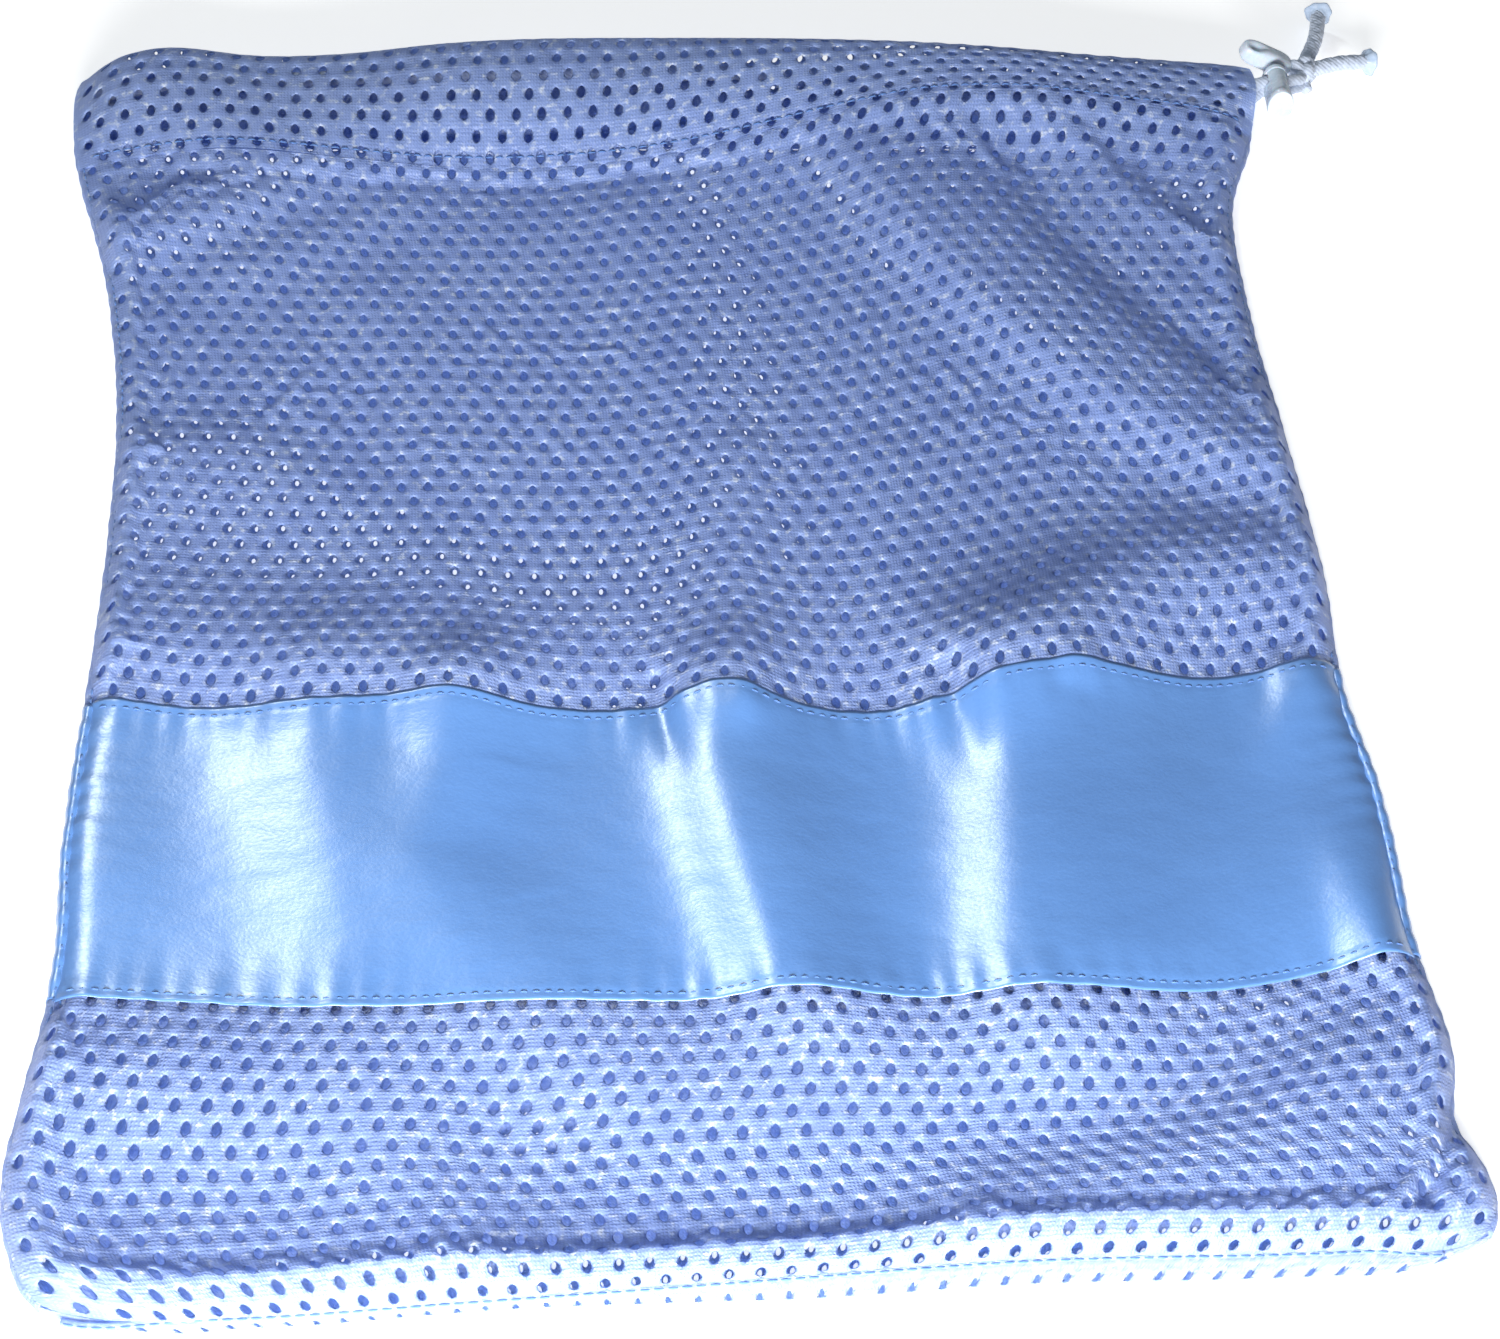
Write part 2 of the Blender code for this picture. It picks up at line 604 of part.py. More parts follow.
# ---- assembly ---------------------------------------------------------------------------------
def build():
    clear_scene()
    mesh_cloth = make_material("mesh_cloth", (0.27, 0.33, 0.70), 0.55)
    satin = make_material("satin", (0.13, 0.30, 0.72), 0.28)
    thread = make_material("thread", (0.20, 0.33, 0.75), 0.6)
    cord = make_material("cord", (0.72, 0.77, 0.88), 0.7)
    melted = make_material("melted_cord", (0.62, 0.68, 0.82), 0.45)
    plastic = make_material("lock_plastic", (0.82, 0.84, 0.88), 0.3)
    steel = make_material("spring_steel", (0.6, 0.6, 0.62), 0.25, metallic=1.0)

    make_panels(mesh_cloth, satin)
    make_band_stitching(thread)
    make_side_seam("left", -1, mesh_cloth, thread)
    make_side_seam("right", 1, mesh_cloth, thread)
    make_bottom_seam(mesh_cloth, thread)
    make_sleeve("casing_front", FRONT_Z, FRONT_Z, mesh_cloth)
    make_sleeve("casing_back", 0.0, SLEEVE_HEIGHT, mesh_cloth)
    make_hem_stitching(thread)
    make_drawcord(cord)

    end_body = make_body("casing_end_slide", (HEM_LEFT, CORD_Y, SLEEVE_HEIGHT + MOUTH_GAP / 2))
    make_casing_end(end_body, mesh_cloth)
    pull_body = make_body("cord_pull", LOCK + KNOT_FROM_LOCK)
    make_knot(pull_body, cord)
    make_tails(pull_body, cord, melted)
    lock_body = make_body("cord_lock", LOCK)
    make_barrel(lock_body, plastic)
    make_spring(lock_body, steel)
    button_body = make_body("lock_button", LOCK)
    make_button(button_body, plastic)


build()
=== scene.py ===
import math

import bmesh
import bpy
import numpy as np
from mathutils import Matrix, Vector


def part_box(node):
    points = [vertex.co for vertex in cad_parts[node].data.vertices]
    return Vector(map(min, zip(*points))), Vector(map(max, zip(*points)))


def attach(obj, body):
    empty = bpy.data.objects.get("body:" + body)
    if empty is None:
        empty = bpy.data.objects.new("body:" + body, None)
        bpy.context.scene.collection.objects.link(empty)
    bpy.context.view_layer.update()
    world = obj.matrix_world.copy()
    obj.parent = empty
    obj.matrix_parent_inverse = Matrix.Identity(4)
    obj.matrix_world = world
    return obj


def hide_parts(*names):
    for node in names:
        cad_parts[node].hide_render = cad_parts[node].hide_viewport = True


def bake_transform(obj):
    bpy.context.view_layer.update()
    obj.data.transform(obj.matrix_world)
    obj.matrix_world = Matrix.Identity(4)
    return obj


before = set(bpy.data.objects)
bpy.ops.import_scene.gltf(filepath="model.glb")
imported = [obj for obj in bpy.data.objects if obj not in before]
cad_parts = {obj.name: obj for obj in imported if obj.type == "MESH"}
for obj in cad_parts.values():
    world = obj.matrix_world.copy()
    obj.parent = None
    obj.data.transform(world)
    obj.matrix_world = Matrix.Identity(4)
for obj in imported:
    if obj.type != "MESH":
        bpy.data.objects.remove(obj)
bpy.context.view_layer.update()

# The looks of the mesh laundry bag. Everything is worked out in millimetres and written out in metres.
# u runs across the bag from 0 at its left side to 1 at its right side; w runs along the cloth in
# millimetres from the bottom seam towards the mouth.
MM = 0.001
rng = np.random.default_rng(7)


# ---- places read from the frame -----------------------------------------------------------------
def node_box(name):
    """Lowest and highest corner of a CAD node, in millimetres."""
    low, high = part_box(name)
    return low / MM, high / MM


band_low, band_high = node_box("satin_band_front")
hem_low, hem_high = node_box("casing_front")
lock_low, lock_high = node_box("cord_lock_barrel")
knot_low, knot_high = node_box("cord_knot")

BAND_BOTTOM, BAND_TOP = band_low.y, band_high.y
HEM_FOOT_Y = hem_low.y
LEFT_X, RIGHT_X = node_box("casing_end")[0].x, hem_high.x

# ---- cloth sizes --------------------------------------------------------------------------------
COLUMNS = 46                    # mesh holes across the bag
ROW = 5.05                      # mesh rows along the cloth
MESH_THICK = 0.6
HOLE = (0.92, 1.50)             # half width and half height of one hole
WIDTH = 292.0                   # width of the flat cloth
EDGE_Z = 2.2                    # where front and back cloth meet at the sides
BACK_Z = 1.05                   # back cloth lying on the floor
FRONT_SEAM_Z, SEAM_Z, BACK_SEAM_Z = 4.6, 4.4, 4.2       # cloth and cord of the bottom seam
BAND_START = 15 * ROW           # w of the satin band's two edges and of the foot of the hem
BAND_END = BAND_START + BAND_TOP - BAND_BOTTOM
HEM_START = BAND_END + 38 * ROW
ROLL_DEEP, ROLL_LENGTH = 8.0, 12.5      # rounded front of the bottom edge
TUCK = 4.0                      # mesh that runs on under the satin


def hermite(knots, values, slopes, at):
    """The smooth line that has these values and slopes at its knots, read at each place in at."""
    i = np.clip(np.searchsorted(knots, at) - 1, 0, len(knots) - 2)
    step = knots[i + 1] - knots[i]
    s = (at - knots[i]) / step
    if values.ndim > 1:
        step, s = step[:, None], s[:, None]
    start = (1 + 2 * s) * (1 - s) ** 2 * values[i] + s * (1 - s) ** 2 * step * slopes[i]
    end = s**2 * (3 - 2 * s) * values[i + 1] + s**2 * (s - 1) * step * slopes[i + 1]
    return start + end


def curve(*points):
    """A smooth function through (along, value) points."""
    along, value = np.array(points, float).T.copy()
    slope = np.gradient(value, along)
    return lambda q: hermite(along, value, slope, np.clip(q, along[0], along[-1]))


def distances(points):
    """How far along a line each of its points is."""
    return np.concatenate([[0], np.cumsum(np.linalg.norm(np.diff(points, axis=0), axis=1))])


def smooth_path(corners, spacing=0.3, count=None):
    """Points on a smooth line through corners, count of them or one every spacing."""
    corners = np.asarray(corners, float)
    knots = distances(corners)
    fine = np.linspace(0, knots[-1], count or max(int(knots[-1] / spacing), 4))
    return hermite(knots, corners, np.gradient(corners, knots, axis=0), fine)


def unit(vectors):
    return vectors / np.linalg.norm(vectors, axis=-1, keepdims=True)


def ease(t):
    t = np.clip(t, 0.0, 1.0)
    return t * t * (3 - 2 * t)


# Sides of the bag as it lies: y, then x
left_side = curve(
    (-123, -127), (-119, -136), (-112, -144), (-100, -149.5), (-84, -151.5), (-66, -149.5),
    (-36, -145), (8, -144.5), (49, -142), (90, -140), (144, -140), (199, -147), (222, -152.5),
    (246, -156), (262, -155.5), (272, -152),
)
right_side = curve(
    (-123, 128), (-114, 138), (-107, 145), (-97, 149.5), (-88, 148.5), (-79, 145), (-60, 147.5),
    (-31, 145), (14, 145), (45, 142), (80, 143.5), (127, 142), (178, 140), (218, 142.5),
    (240, 150), (254, 153), (272, 152),
)

# Lines across the bag: x, then y. The cloth is pulled out of straight by its folds.
bottom_line = curve(
    (-152, -110), (-136, -118), (-110, -118.5), (-60, -116), (0, -112.5), (50, -109.5),
    (120, -109), (140, -108), (152, -100),
)
band_bottom_line = curve(
    (-145, -38.5), (-120, -40), (-93, -43), (-52, -42), (7, -42), (53, -43.5), (95, -41.5),
    (120, -37), (145, -33),
)
band_top_line = curve(
    (-142, 44), (-119, 41), (-88, 40.5), (-66, 42), (-41, 39.5), (-20, 40), (-1, 43.5),
    (17, 39.5), (37, 38), (65, 43), (86, 47), (108, 46), (142, 51),
)
hem_foot_line = curve(
    (-156, 229), (-120, 231), (-80, 227), (-50, 227), (-11, 230), (20, 236), (45, 243),
    (65, 248), (90, 250), (120, 247), (153, 242),
)
hem_foot_height = curve(
    (-156, 5), (-142, 6), (-112, 9.5), (-88, 9), (-60, 6), (0, 7), (28, 10.5), (60, 13.5),
    (90, 13), (110, 11.5), (140, 9.5), (153, 8),
)
hem_crest_height = curve(
    (-156, 7), (-148, 11), (-136, 13.5), (-110, 13), (-86, 14), (-60, 17), (0, 17.5), (40, 16.5),
    (80, 15), (110, 13), (140, 11.5), (153, 11),
)
mouth_line = curve(
    (-156, 264), (-146, 267.5), (-100, 266.5), (0, 269), (60, 270), (100, 268.5), (140, 266.5),
    (153, 266),
)

# Height of the front cloth along the bag: y, then z
front_level = curve(
    (-123, 9.5), (-108, 10.2), (-96, 9.8), (-80, 8.6), (-60, 8), (-42, 6.5), (0, 5.5), (42, 5.5),
    (60, 6.5), (100, 5.5), (180, 5.5), (215, 6.5), (255, 7),
)

# Folds of the front cloth: the line each one runs along, how far it spreads to the left and to the
# right of that line, and its height at each end, in millimetres. Valleys have negative heights.
FOLDS = (
    # fanning out from the cord lock's corner
    (((44, 238), (57, 206), (78, 172), (102, 142), (126, 122)), 36, 13, 5.6, 5.6),
    (((84, 240), (96, 205), (116, 172), (134, 150)), 9, 9, -2.2, -2.2),
    (((104, 236), (118, 212), (134, 196)), 6, 6, 1.8, 1.8),
    (((20, 232), (26, 205), (30, 180)), 9, 9, 0.8, 0),
    # top left corner
    (((-142, 198), (-114, 213), (-94, 228), (-80, 240)), 15, 9, 4.6, 4.0),
    (((-112, 190), (-88, 203), (-66, 222)), 9, 9, 1.6, 1.6),
    (((-132, 236), (-104, 242), (-80, 240)), 7, 7, -1.6, -1.6),
    # left side above the satin
    (((-144, 122), (-112, 122), (-84, 104), (-66, 86)), 14, 22, 3.0, 1.0),
    (((-144, 60), (-110, 58), (-80, 54), (-40, 50)), 22, 14, 3.0, 2.2),
    (((-80, 178), (-70, 150), (-66, 120)), 12, 12, 1.3, 0),
    # upright folds that run on down into the satin
    (((-14, 222), (-17, 190), (-20, 160)), 6, 9, 1.3, 0),
    (((10, 124), (6, 80), (4, 40)), 7, 9, 1.8, 1.8),
    (((42, 120), (44, 80), (46, 42)), 12, 12, 1.3, 1.3),
    # right side above the satin
    (((62, 52), (84, 70), (108, 81), (140, 84)), 19, 20, 5.4, 6.0),
    (((130, 118), (142, 112)), 12, 12, 1.2, 1.2),
    # satin band
    (((-90, 46), (-89, 22), (-84, -4), (-80, -42)), 24, 18, 4.6, 2.4),
    (((-66, 2), (-60, -18), (-54, -42)), 24, 16, 0, 4.0),
    (((-60, 46), (-61, 26), (-66, -2)), 16, 11, 4.8, 1.4),
    (((-2, 46), (-1, 20), (3, -6), (10, -42)), 20, 13, 5.4, 5.4),
    (((-16, 48), (-14, 36), (-9, 12)), 3.5, 3.5, -1.8, 0),
    (((68, 50), (65, 20), (60, -42)), 26, 16, 6.0, 6.0),
    (((50, 48), (53, 34), (55, 10)), 4, 4, -2.0, 0),
    (((80, 48), (78, 38)), 5, 5, 1.5, 0),
    (((96, 46), (92, 10), (84, -30)), 12, 12, 1.0, 1.0),
    (((132, 46), (124, 28), (116, 12)), 8, 7, 2.2, 0),
    (((130, 18), (133, 0), (136, -32)), 8, 8, 0, 2.6),
    # lower mesh
    (((-98, -52), (-88, -64), (-74, -84), (-66, -96)), 18, 24, 0.6, 3.0),
    (((-58, -44), (-50, -74), (-28, -90), (12, -93), (60, -80), (92, -66), (116, -44)),
     18, 19, -3.0, -3.0),
    (((46, -96), (84, -88), (110, -78), (132, -52)), 14, 22, 2.4, 2.4),
    (((-146, -60), (-114, -58)), 18, 30, 2.8, 1.6),
    (((-142, -89), (-100, -91), (-56, -94)), 18, 12, -2.8, -2.4),
    (((144, -76), (139, -90), (133, -100)), 2.4, 2.4, -3.4, -3.4),
)


def fold_profile(x, y, points, left, right, first, last):
    """Height first to last on the line through points, easing to 0 over left and right of it."""
    nearest = np.full(np.shape(x), 1e9)
    reach = np.full(np.shape(x), float(right))
    along = np.zeros(np.shape(x))
    done = 0.0
    for (ax, ay), (bx, by) in zip(points, points[1:]):
        dx, dy = bx - ax, by - ay
        length = math.hypot(dx, dy)
        t = np.clip(((x - ax) * dx + (y - ay) * dy) / length**2, 0, 1)
        gap = np.hypot(x - ax - t * dx, y - ay - t * dy)
        side = (dx * (y - ay) - dy * (x - ax)) / length
        here = right + (left - right) * ease(0.5 + 0.5 * side / np.maximum(gap, 1e-6))
        reach = np.where(gap < nearest, here, reach)
        along = np.where(gap < nearest, done + t * length, along)
        nearest = np.minimum(nearest, gap)
        done += length
    return (first + (last - first) * ease(along / done)) * np.exp(-((nearest / reach) ** 2))


def fold_height(x, y):
    return sum(fold_profile(x, y, *fold) for fold in FOLDS)


def soft_floor(z, floor, bend=1.2):
    """z, turned smoothly level before it drops below floor."""
    return floor + bend * np.log1p(np.exp(np.clip((z - floor) / bend, -30, 30)))


def place_across(u, y):
    return left_side(y) + u * (right_side(y) - left_side(y))


def inset_of(u, y):
    """How far the cloth is from the nearer side."""
    return np.minimum(u, 1 - u) * (right_side(y) - left_side(y))


def bottom_seam_z(x, middle):
    """Height of the bottom seam: middle along most of it, and lower at the bag's corners."""
    return middle - 2.0 * ease((np.abs(x) - 120) / 25)


def between_seams(guess, w, foot, start, top):
    """y of cloth laid out from foot at w = start, over the satin band's seams, to top at the hem."""
    low, high = band_bottom_line(guess), band_top_line(guess)
    lower = foot + (low - foot) * (w - start) / (BAND_START - start)
    band = low + (high - low) * (w - BAND_START) / (BAND_END - BAND_START)
    upper = high + (top - high) * (w - BAND_END) / (HEM_START - BAND_END)
    return np.where(w > BAND_END, upper, np.where(w > BAND_START, band, lower))


def front_cloth(u, w):
    """The front cloth: up round the roll at the bottom, then over its folds to the hem."""
    guess = -WIDTH / 2 + WIDTH * u
    foot = bottom_line(guess)
    turn = np.clip(w / ROLL_LENGTH, 0, 1) * math.pi / 2
    y = between_seams(guess, w, foot + ROLL_DEEP, ROLL_LENGTH, hem_foot_line(guess))
    y = np.where(w < ROLL_LENGTH, foot + ROLL_DEEP * (1 - np.cos(turn)), y)
    x = place_across(u, y)
    z = soft_floor(front_level(y) + fold_height(x, y), 2.6)
    near_hem = ease(1 - (hem_foot_line(x) - y) / 22)
    z = z + (hem_foot_height(x) - z) * near_hem
    z = EDGE_Z + (z - EDGE_Z) * (1 - np.exp(-((inset_of(u, y) / 3.2) ** 1.3)))
    seam_z = bottom_seam_z(x, FRONT_SEAM_Z)
    z = np.where(w < ROLL_LENGTH, seam_z + (z - seam_z) * np.sin(turn), z)
    return np.stack([x, y, z], -1)


def back_cloth(u, w):
    """The back cloth: out from under the bottom seam, round, and flat along the floor."""
    guess = -WIDTH / 2 + WIDTH * u
    foot = bottom_line(guess)
    rolled = 9.0
    bulge = 1.5 + 3.6 * ease((guess + 60) / 90) * (1 - ease((guess - 125) / 22))
    turn = np.clip(w / rolled, 0, 1) * math.pi
    y = between_seams(guess, w, foot, rolled, HEM_FOOT_Y)
    y = np.where(w < rolled, foot - bulge * np.sin(turn), y)
    x = place_across(u, y)
    z = BACK_Z + 0.9 * np.exp(-inset_of(u, y) / 2.5) + 0.12 * np.sin(x / 9) * np.sin(y / 13)
    z = np.where(w < rolled, z + (bottom_seam_z(x, BACK_SEAM_Z) - z) * (1 + np.cos(turn)) / 2, z)
    return np.stack([x, y, z], -1)


# ---- a grid of points that stands for one sheet of cloth ----------------------------------------
class Sheet:
    """Points over u from 0 to 1 and w over a range, read back smoothly anywhere between them."""

    def __init__(self, points, w_range, flip=False):
        self.points, self.w_range, self.flip = points, w_range, flip
        self.find_normals()

    def find_normals(self):
        normals = unit(np.cross(np.gradient(self.points, axis=1), np.gradient(self.points, axis=0)))
        self.normals = -normals if self.flip else normals

    def read(self, grid, u, w):
        rows, columns = grid.shape[:2]
        a = u * (columns - 1)
        b = (w - self.w_range[0]) / (self.w_range[1] - self.w_range[0]) * (rows - 1)
        j = np.clip(np.floor(a).astype(int), 0, columns - 2)
        i = np.clip(np.floor(b).astype(int), 0, rows - 2)
        across = spline_shares(a - j)
        along = spline_shares(b - i)
        total = 0
        for m in range(4):
            row = np.clip(i + m - 1, 0, rows - 1)
            for n in range(4):
                column = np.clip(j + n - 1, 0, columns - 1)
                total = total + (along[m] * across[n])[..., None] * grid[row, column]
        return total

    def at(self, u, w, lift=0.0):
        """Points of the sheet, raised along its normal by lift."""
        u, w = np.broadcast_arrays(np.asarray(u, float), np.asarray(w, float))
        lift = np.broadcast_to(lift, u.shape)[..., None]
        return self.read(self.points, u, w) + self.normal(u, w) * lift

    def normal(self, u, w):
        return unit(self.read(self.normals, u, w))


def spline_shares(t):
    """Catmull-Rom shares of the four neighbours."""
    return (
        (-t + 2 * t**2 - t**3) / 2,
        (2 - 5 * t**2 + 3 * t**3) / 2,
        (t + 4 * t**2 - 3 * t**3) / 2,
        (-(t**2) + t**3) / 2,
    )


# ---- mesh helpers -------------------------------------------------------------------------------
def link(name, mesh):
    """A new object in the scene that shows mesh."""
    obj = bpy.data.objects.new(name, mesh)
    bpy.context.scene.collection.objects.link(obj)
    return obj


def make_object(name, points, faces, material, layout=None):
    """A mesh from points in millimetres; layout gives each point's place on the flat cloth."""
    mesh = bpy.data.meshes.new(name)
    mesh.from_pydata((np.asarray(points) * MM).tolist(), [], faces)
    mesh.shade_smooth()
    if layout is not None:
        place = mesh.attributes.new("cloth", "FLOAT_VECTOR", "POINT")
        flat = np.zeros((len(points), 3), np.float32)
        flat[:, :2] = np.asarray(layout) * MM
        place.data.foreach_set("vector", flat.ravel())
    mesh.materials.append(material)
    mesh.update()
    return link(name, mesh)


def grid_faces(rows, columns, flip=False):
    """Quads over a grid of rows x columns points."""
    index = np.arange(rows * columns).reshape(rows, columns)
    quads = np.stack([index[:-1, :-1], index[:-1, 1:], index[1:, 1:], index[1:, :-1]], -1)
    quads = quads.reshape(-1, 4)
    return quads[:, ::-1] if flip else quads


def ring_faces(rings):
    """Quads between neighbouring rings of points, given as rows of indices."""
    ahead = np.roll(rings, -1, axis=-1)
    near, far = np.s_[..., :-1, :], np.s_[..., 1:, :]
    return np.stack([rings[near], ahead[near], ahead[far], rings[far]], -1).reshape(-1, 4).tolist()


# How each cell runs from its border on top, through its hole, to its border below: share of the way
# in to the hole, then height as a share of the cloth's thickness
FINE_RIM = ((0, 0.5), (0.42, 0.44), (0.78, 0.14), (1, -0.36), (0, -0.5))
COARSE_RIM = ((0, 0.5), (0.6, 0.34), (1, -0.2), (0, -0.5))
SIZE_SPREAD, DRIFT = 0.07, 0.018        # how unlike the holes are in size and place


def cell_border(per_edge):
    """Six-sided outline of one cell, per_edge points a side; its flanks are upright."""
    tip = 1 / 6
    corners = ((0.5, tip - 0.5), (0.5, 0.5 - tip), (0, 0.5 + tip), (-0.5, 0.5 - tip),
               (-0.5, tip - 0.5), (0, -0.5 - tip))
    border = []
    for (ax, ay), (bx, by) in zip(corners, corners[1:] + corners[:1]):
        for k in range(per_edge):
            border.append((ax + (bx - ax) * k / per_edge, ay + (by - ay) * k / per_edge))
    return np.array(border)


def perforate(name, sheet, start, rows, material, per_edge=3, rim=FINE_RIM, hole=HOLE, stretch=ROW,
              parity=0):
    """Knitted mesh over a sheet: staggered six-sided cells, each with an upright oval hole."""
    width = WIDTH / COLUMNS
    border = cell_border(per_edge)
    turn = np.arctan2(border[:, 1] * stretch, border[:, 0] * width)
    pinch = 1 - 0.16 * np.abs(np.sin(turn)) ** 3
    opening = np.stack([hole[0] * np.cos(turn) * pinch / width, hole[1] * np.sin(turn) / stretch], -1)
    made, faces = [], []
    total = 0

    def put(s, t, high, shared):
        """Adds points; those shared with the next cells are told apart as top, 1, or underside, 2."""
        kind = (1 if high > 0 else 2) if shared else 0
        made.append([s.ravel(), t.ravel(), np.full(s.size, high * MESH_THICK), np.full(s.size, kind)])

    for row in range(rows):
        shifted = (row + parity) % 2
        centre_s = np.arange(COLUMNS - shifted) + 0.5 + 0.5 * shifted
        cells = len(centre_s)
        size = 1 + rng.uniform(-SIZE_SPREAD, SIZE_SPREAD, cells)
        drift = rng.normal(0, DRIFT, (cells, 2))
        for share, high in rim:
            ring_s = centre_s[:, None] + border[:, 0] * (1 - share)
            ring_t = row + 0.5 + border[:, 1] * (1 - share) + 0 * ring_s
            ring_s = ring_s + share * (opening[:, 0] * size[:, None] + drift[:, :1])
            ring_t = ring_t + share * (opening[:, 1] * size[:, None] + drift[:, 1:])
            if share == 0:
                ring_t = square_ends(ring_t, row, rows, border[:, 1])
            put(ring_s, ring_t, high, shared=share == 0)
        shape = (len(rim), cells, len(border))
        index = total + np.arange(math.prod(shape)).reshape(shape)
        ahead = np.roll(index, -1, axis=2)
        faces.append(np.stack([index[:-1], ahead[:-1], ahead[1:], index[1:]], -1).reshape(-1, 4))
        total += index.size
        if shifted:
            for side, centre in ((1, 0.0), (-1, float(COLUMNS))):
                keep = border[:, 0] * side >= -1e-9
                ring = border[keep]
                ring = ring[np.argsort(np.arctan2(ring[:, 1], ring[:, 0] * side + 1e-6))]
                for high in (rim[0][1], rim[-1][1]):
                    fan_s = np.concatenate([[centre], centre + ring[:, 0]])
                    level = square_ends(row + 0.5 + ring[:, 1], row, rows, ring[:, 1])
                    fan_t = np.concatenate([[row + 0.5], level])
                    put(fan_s, fan_t, high, shared=True)
                    spokes = total + 1 + np.arange(len(ring) - 1)
                    fan = np.stack([np.full(len(spokes), total), spokes, spokes + 1], -1)
                    if (side > 0) != (high > 0):
                        fan = fan[:, ::-1]
                    faces.append(fan)
                    total += len(fan_s)
    s, t, level, kind = (np.concatenate(part) for part in zip(*made))
    s_key, t_key = (np.round(q * 2048).astype(np.int64) for q in (s, t))
    key = np.where(kind > 0, (s_key << 34) + (t_key << 3) + kind, -1 - np.arange(len(s)))
    _, first, merged = np.unique(key, return_index=True, return_inverse=True)
    s, t, level = s[first], t[first], level[first]
    polygons = [polygon for group in faces for polygon in merged.ravel()[group].tolist()]
    points = sheet.at(s / COLUMNS, start + t * stretch, level)
    layout = np.stack([s * width, start + t * stretch], -1)
    return make_object(name, points, polygons, material, layout)


def square_ends(t, row, rows, offset):
    """Straightens the first and last row's outer border."""
    if row == 0:
        t = np.where(offset < -0.33, 0.0, t)
    if row == rows - 1:
        t = np.where(offset > 0.33, float(rows), t)
    return t


def tube(name, path, radii, material, sides=20, ripple=None, flat=1.0):
    """A tube along path; ripple(turn, along) varies its radius and flat squashes its height."""
    path = np.asarray(path, float)
    radii = np.broadcast_to(np.asarray(radii, float), len(path))
    tangent = unit(np.gradient(path, axis=0))
    along = distances(path)
    turn = np.linspace(0, 2 * math.pi, sides, endpoint=False)
    up = np.array([0.0, 0.0, 1.0])
    if abs(tangent[0] @ up) > 0.9:
        up = np.array([0.0, 1.0, 0.0])
    points = []
    for i, centre in enumerate(path):
        up = up - tangent[i] * (up @ tangent[i])
        up /= np.linalg.norm(up)
        over = np.cross(tangent[i], up)
        r = radii[i] * (1 if ripple is None else ripple(turn, along[i]))
        ring = np.outer(np.cos(turn) * r, over) + np.outer(np.sin(turn) * r * flat, up)
        points.append(centre + ring)
    rows = len(path)
    index = np.arange(rows * sides).reshape(rows, sides)
    faces = ring_faces(index)
    points = np.concatenate(points + [path[:1], path[-1:]])
    first, last = rows * sides, rows * sides + 1
    for k, after in zip(range(sides), np.roll(range(sides), -1)):
        faces += [[first, index[0, after], index[0, k]], [last, index[-1, k], index[-1, after]]]
    layout = np.concatenate([
        np.stack([np.tile(turn * 2, rows), np.repeat(along, sides)], -1),
        [[0, 0], [0, along[-1]]],
    ])
    return make_object(name, points, faces, material, layout)


def stitch_run(name, line, count, material, radius=0.21, fill=0.82, rise=0.16):
    """Short stitches along line(q), which gives points and normals for q from 0 to 1."""
    steps, sides = 6, 7
    local = np.linspace(0, 1, steps)
    begin = (np.arange(count) + 0.5 * (1 - fill)) / count
    q = begin[:, None] + local[None, :] * fill / count
    points, normals = line(q.ravel())
    arch = np.tile(np.sin(math.pi * local) ** 0.6, count)
    points = points + normals * (rise * arch - 0.25 * (1 - arch))[:, None]
    tangent = unit(np.gradient(points.reshape(count, steps, 3), axis=1).reshape(-1, 3))
    over = unit(np.cross(tangent, normals))
    turn = np.linspace(0, 2 * math.pi, sides, endpoint=False)
    thin = np.tile(0.45 + 0.55 * np.sin(math.pi * local) ** 0.5, count) * radius
    ring = (over[:, None] * np.cos(turn)[:, None] * 1.25
            + normals[:, None] * np.sin(turn)[:, None]) * thin[:, None, None]
    solid = (points[:, None] + ring).reshape(-1, 3)
    index = np.arange(count * steps * sides).reshape(count, steps, sides)
    faces = ring_faces(index) + index[:, 0, ::-1].tolist() + index[:, -1].tolist()
    layout = np.stack([np.tile(turn, count * steps), np.repeat(q.ravel() * 300, sides)], -1)
    return make_object(name, solid, faces, material, layout)


